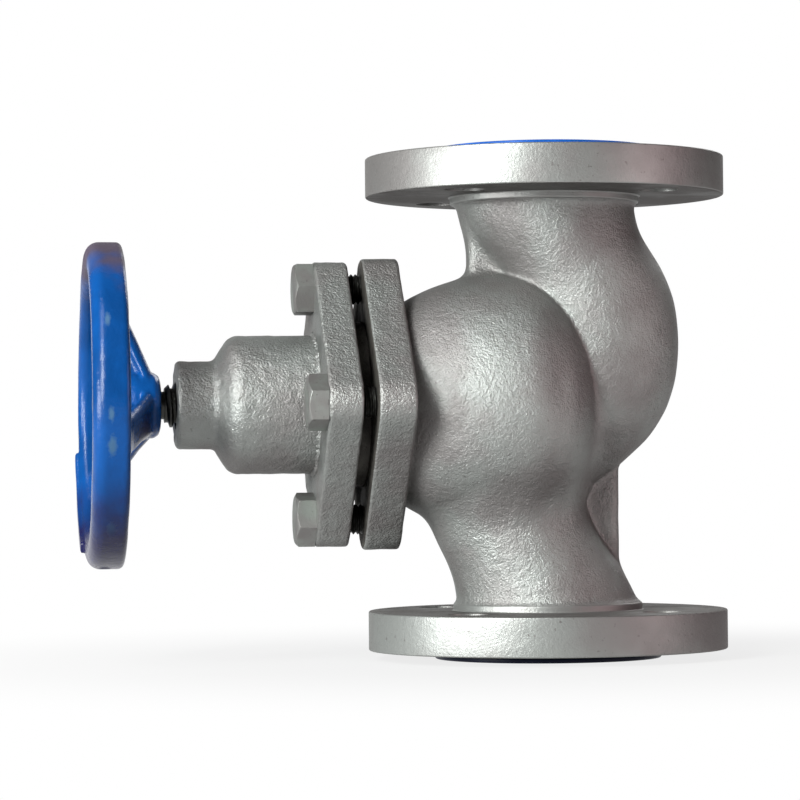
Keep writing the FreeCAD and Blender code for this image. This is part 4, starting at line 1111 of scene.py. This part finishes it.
class VALVE_OT_spindle(bpy.types.Operator):
    """Build the spindle with its long thread, collar, waist, nose and end thread"""

    bl_idname = "valve.spindle"
    bl_label = "Spindle"

    def execute(self, context):
        steel = metal_finish("Dark thread", colours().dark_thread, 0.35)
        thread = screw(100.1, THREAD_END, crest=10.0, root=7.8, pitch=sizes().spindle_pitch / MM,
                       flank=0.2, rise=0.22)
        foot = lathe(np.array([(68.1, 0.01), (68.1, 13.5), (76.1, 13.5), (76.1, 9.0), (101.0, 9.0),
                               (101.0, 0.01)]), 96)
        line = rounded([(175, 0.01), (175, 6.3), (199.2, 6.3), (199.2, 0.01)], [0, 0, 0.4, 0])
        nose = lathe(line, 64)
        end = screw(199.0, 208.4, crest=5.0, root=4.2, pitch=1.5, flank=0.4, steps=48, rise=0.2)
        points, faces = combine(thread, foot, nose, end)
        add_piece("spindle_screw", along_stem(points), faces, steel, "spindle",
                  ["spindle"], sharp=30)
        return {"FINISHED"}


class VALVE_OT_handwheel(bpy.types.Operator):
    """Build the dished handwheel with its spokes, hub and raised pad"""

    bl_idname = "valve.handwheel"
    bl_label = "Handwheel"

    def execute(self, context):
        step = sizes().wheel_step / MM * 1
        points, quads = skin(wheel_field, (176.5, -76, -76), (215.5, 76, 76), step)
        placed = turned(points, math.radians(FIRST_SPOKE))
        add_piece("wheel_casting", along_stem(placed), quads, wheel_paint(), "spindle",
                  ["handwheel"], sharp=0)
        return {"FINISHED"}


class VALVE_OT_wheel_nut(bpy.types.Operator):
    """Build the washer and the nut that hold the handwheel"""

    bl_idname = "valve.wheel_nut"
    bl_label = "Wheel nut and washer"

    def execute(self, context):
        zinc = metal_finish("Zinc plate", (0.42, 0.42, 0.40), 0.38)
        line = [(HUB_FACE, 5.1), (HUB_FACE, 10.5), (201.8, 10.5), (201.8, 5.1)]
        ring = lathe(rounded(line, [0, 0.2, 0.3, 0]), 96)
        add_piece("wheel_washer", along_stem(ring[0]), ring[1], zinc, "spindle",
                  ["handwheel_washer"])
        nut = hexagon_head(201.8, height=6.2, flats=17.0, both=True)
        piece = add_piece("wheel_nut", along_stem(nut[0]), nut[1], zinc, "spindle",
                          ["handwheel_nut"], sharp=22)
        bore = rod(199, 215, 5.05)
        cut_with(piece, [(along_stem(bore[0]), bore[1])])
        return {"FINISHED"}


class VALVE_OT_covers(bpy.types.Operator):
    """Build the two plastic covers on the raised faces"""

    bl_idname = "valve.covers"
    bl_label = "Flange covers"

    def execute(self, context):
        corners = [(0, 0.01), (0, 52), (2, 52), (2, 24.7), (12, 24.7), (12, 23.3), (2, 23.3), (2, 0.01)]
        line = rounded(corners, [0, 0.7, 0.3, 0.3, 0.3, 0.3, 0.3, 0], 5)
        points, faces = lathe(spread(line, 6.0), 192)
        tint = colours()
        # Painted shade: the lower cover is coloured far darker than the upper one for the shade it sits
        # in.
        for side, height, flip, colour, slot in (
            ("lower", 0.0, 1, tint.lower_cover, "dark_blue_plastic"),
            ("upper", UPPER_FACE + 2.0, -1, tint.upper_cover, "bright_blue_plastic"),
        ):
            finish = plastic_finish(f"{side} cover plastic", colour)
            add_piece(f"{side}_cover", upright(on_end(points, flip), height), faces, finish, "valve",
                      [f"{side}_flange_cover"])
        return {"FINISHED"}


class VALVE_OT_inner_pieces(bpy.types.Operator):
    """Give the turned pieces inside the valve their finishes"""

    bl_idname = "valve.inner_pieces"
    bl_label = "Inner pieces"

    def execute(self, context):
        steel = metal_finish("Turned metal", (0.5, 0.5, 0.51), 0.3)
        ground = metal_finish("Ground metal", (0.62, 0.62, 0.64), 0.12, lines=4000, depth=0.00001)
        brass = metal_finish("Turned brass", (0.60, 0.43, 0.17), 0.3)
        packing = plastic_finish("Packed graphite", (0.03, 0.03, 0.032))
        zinc = metal_finish("Zinc plate", (0.42, 0.42, 0.40), 0.38)
        finishes = {
            "lower_valve_ring": packing, "upper_valve_ring": packing, "lantern_bush": steel,
            "spindle_bush": brass, "bush_grub_screw": zinc, "piston": ground, "thrust_disc": steel,
            "split_ring_near": steel, "split_ring_far": steel, "piston_nut": steel,
        }
        for node, material in finishes.items():
            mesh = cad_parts[node].data
            mesh.materials.clear()
            mesh.materials.append(material)
        return {"FINISHED"}


# Studio


SOFTBOXES = (
    ("key_softbox", (-1.26, -1.24, 0.74), (0.5, 1.15), 60, (0.97, 1.0, 0.98)),
    ("low_softbox", (-1.75, -0.6, 0.18), (0.9, 0.3), 26, (0.98, 1.0, 0.99)),
    ("top_softbox", (-0.9, -0.7, 1.5), (0.7, 0.7), 10, (1.0, 1.0, 1.0)),
    ("right_softbox", (1.55, -1.0, 0.4), (1.1, 1.1), 11, (1.0, 0.72, 0.75)),
    ("rear_softbox", (0.75, 1.1, 1.0), (1.0, 0.8), 12, (1.0, 1.0, 1.0)),
)
CAMERA_PLACE, CAMERA_AIM = (-0.289, -1.575, 0.0883), (0.139, 0.990)
CAMERA_LENS, CAMERA_RISE, CAMERA_ROLL = 156.2, 1.1, -0.5
SCREEN_PLACE = 1.3


class VALVE_OT_stage(bpy.types.Operator):
    """Set up the pale floor, the screen, the soft lights and the camera"""

    bl_idname = "valve.stage"
    bl_label = "Studio"

    def execute(self, context):
        scene = context.scene
        scene.view_settings.view_transform = "Standard"
        self.floor()
        self.backdrop()
        self.world(scene)
        for softbox in SOFTBOXES:
            self.lamp(*softbox)
        self.camera(scene)
        return {"FINISHED"}

    def floor(self):
        """A pale round floor that keeps the shadow and fades to the white of the backdrop."""
        line = np.array([(0.0, 0.001), (0.0, 0.5), (0.0, 1.6), (0.0, 6.0)])
        points, faces = lathe(line, 64, closed=False)
        points = np.column_stack([points[:, 1], points[:, 2], points[:, 0] - 0.0002])
        finish = Finish("Studio floor")
        surface = finish.add("ShaderNodeBsdfDiffuse")
        surface.inputs["Color"].default_value = (*colours().floor, 1)
        far = finish.add("ShaderNodeVectorMath", operation="LENGTH")
        finish.join(finish.place(), far.inputs[0])
        reach = finish.add("ShaderNodeMapRange", interpolation_type="SMOOTHSTEP")
        for value, name in ((0.08, "From Min"), (0.40, "From Max"), (0.8, "To Min"), (1.0, "To Max")):
            reach.inputs[name].default_value = value
        finish.join(far.outputs["Value"], reach.inputs["Value"])
        share = finish.add("ShaderNodeMath", operation="MULTIPLY")
        finish.join(finish.seen(), share.inputs[0])
        finish.join(reach.outputs["Result"], share.inputs[1])
        finish.blend(share.outputs[0], surface, finish.glow((1, 1, 1)))
        self.put("floor", points, faces, finish.material)

    def backdrop(self):
        """A white screen behind the valve, as wide as the camera needs and clear from its back."""
        left, right, low, high = -0.6, 0.9, -0.0002, 0.9
        corners = (left, low), (right, low), (right, high), (left, high)
        points = [(x, SCREEN_PLACE, z) for x, z in corners]
        finish = Finish("Studio backdrop")
        surface = finish.add("ShaderNodeBsdfDiffuse")
        surface.inputs["Color"].default_value = (*colours().floor, 1)
        screen = finish.add("ShaderNodeMixShader")
        finish.join(finish.seen(), screen.inputs[0])
        finish.join(surface.outputs[0], screen.inputs[1])
        finish.join(finish.glow((1, 1, 1)).outputs[0], screen.inputs[2])
        back = finish.add("ShaderNodeNewGeometry").outputs["Backfacing"]
        finish.blend(back, screen, finish.add("ShaderNodeBsdfTransparent"))
        self.put("backdrop", points, [(0, 1, 2, 3)], finish.material)

    def put(self, name, points, faces, material):
        """A piece of the stage."""
        mesh = bpy.data.meshes.new(name)
        mesh.from_pydata([tuple(p) for p in points], [], faces)
        mesh.materials.append(material)
        thing = bpy.data.objects.new(name, mesh)
        bpy.context.scene.collection.objects.link(thing)

    def world(self, scene):
        world = bpy.data.worlds.new("studio")
        scene.world = world
        world.use_nodes = True
        light = world.node_tree.nodes["Background"]
        light.inputs["Color"].default_value = (0.09, 0.09, 0.09, 1)

    def lamp(self, name, place, size, power, colour):
        """A softbox that looks at the stem."""
        light = bpy.data.lights.new(name, "AREA")
        light.shape, light.energy, light.color = "RECTANGLE", power, colour
        light.size, light.size_y = size
        lamp = bpy.data.objects.new(name, light)
        lamp.location = place
        middle = Vector((0, 0, STEM_HEIGHT * MM))
        lamp.rotation_euler = (middle - Vector(place)).to_track_quat("-Z", "Y").to_euler()
        bpy.context.scene.collection.objects.link(lamp)

    def camera(self, scene):
        data = bpy.data.cameras.new("camera")
        data.sensor_width, data.lens = 36, CAMERA_LENS
        data.clip_start, data.clip_end = 0.05, 20
        camera = bpy.data.objects.new("camera", data)
        scene.collection.objects.link(camera)
        camera.location = CAMERA_PLACE
        aim = Vector((*CAMERA_AIM, math.tan(math.radians(CAMERA_RISE))))
        roll = Matrix.Rotation(math.radians(CAMERA_ROLL), 3, "Z")
        camera.rotation_euler = (aim.to_track_quat("-Z", "Y").to_matrix() @ roll).to_euler()
        scene.camera = camera


class VALVE_PT_panel(bpy.types.Panel):
    """The valve's pieces, sizes and colours"""

    bl_idname = "VALVE_PT_panel"
    bl_label = "Piston valve"
    bl_space_type = "VIEW_3D"
    bl_region_type = "UI"
    bl_category = "Valve"

    def draw(self, context):
        for operator in OPERATORS:
            self.layout.operator(operator.bl_idname)
        for group in (context.scene.valve_sizes, context.scene.valve_colours):
            box = self.layout.box()
            for name in group.bl_rna.properties.keys():
                if name not in ("rna_type", "name"):
                    box.prop(group, name)


OPERATORS = (
    VALVE_OT_casting,
    VALVE_OT_end_flanges,
    VALVE_OT_body_flange,
    VALVE_OT_bonnet,
    VALVE_OT_bolts,
    VALVE_OT_spindle,
    VALVE_OT_handwheel,
    VALVE_OT_wheel_nut,
    VALVE_OT_covers,
    VALVE_OT_inner_pieces,
    VALVE_OT_stage,
)
CLASSES = (ValveSizes, ValveColours, *OPERATORS, VALVE_PT_panel)


def register():
    for one in CLASSES:
        bpy.utils.register_class(one)
    bpy.types.Scene.valve_sizes = bpy.props.PointerProperty(type=ValveSizes)
    bpy.types.Scene.valve_colours = bpy.props.PointerProperty(type=ValveColours)


def unregister():
    del bpy.types.Scene.valve_colours
    del bpy.types.Scene.valve_sizes
    for one in reversed(CLASSES):
        bpy.utils.unregister_class(one)


def main():
    register()
    for operator in OPERATORS:
        group, name = operator.bl_idname.split(".")
        getattr(getattr(bpy.ops, group), name)()


if __name__ == "__main__":
    main()
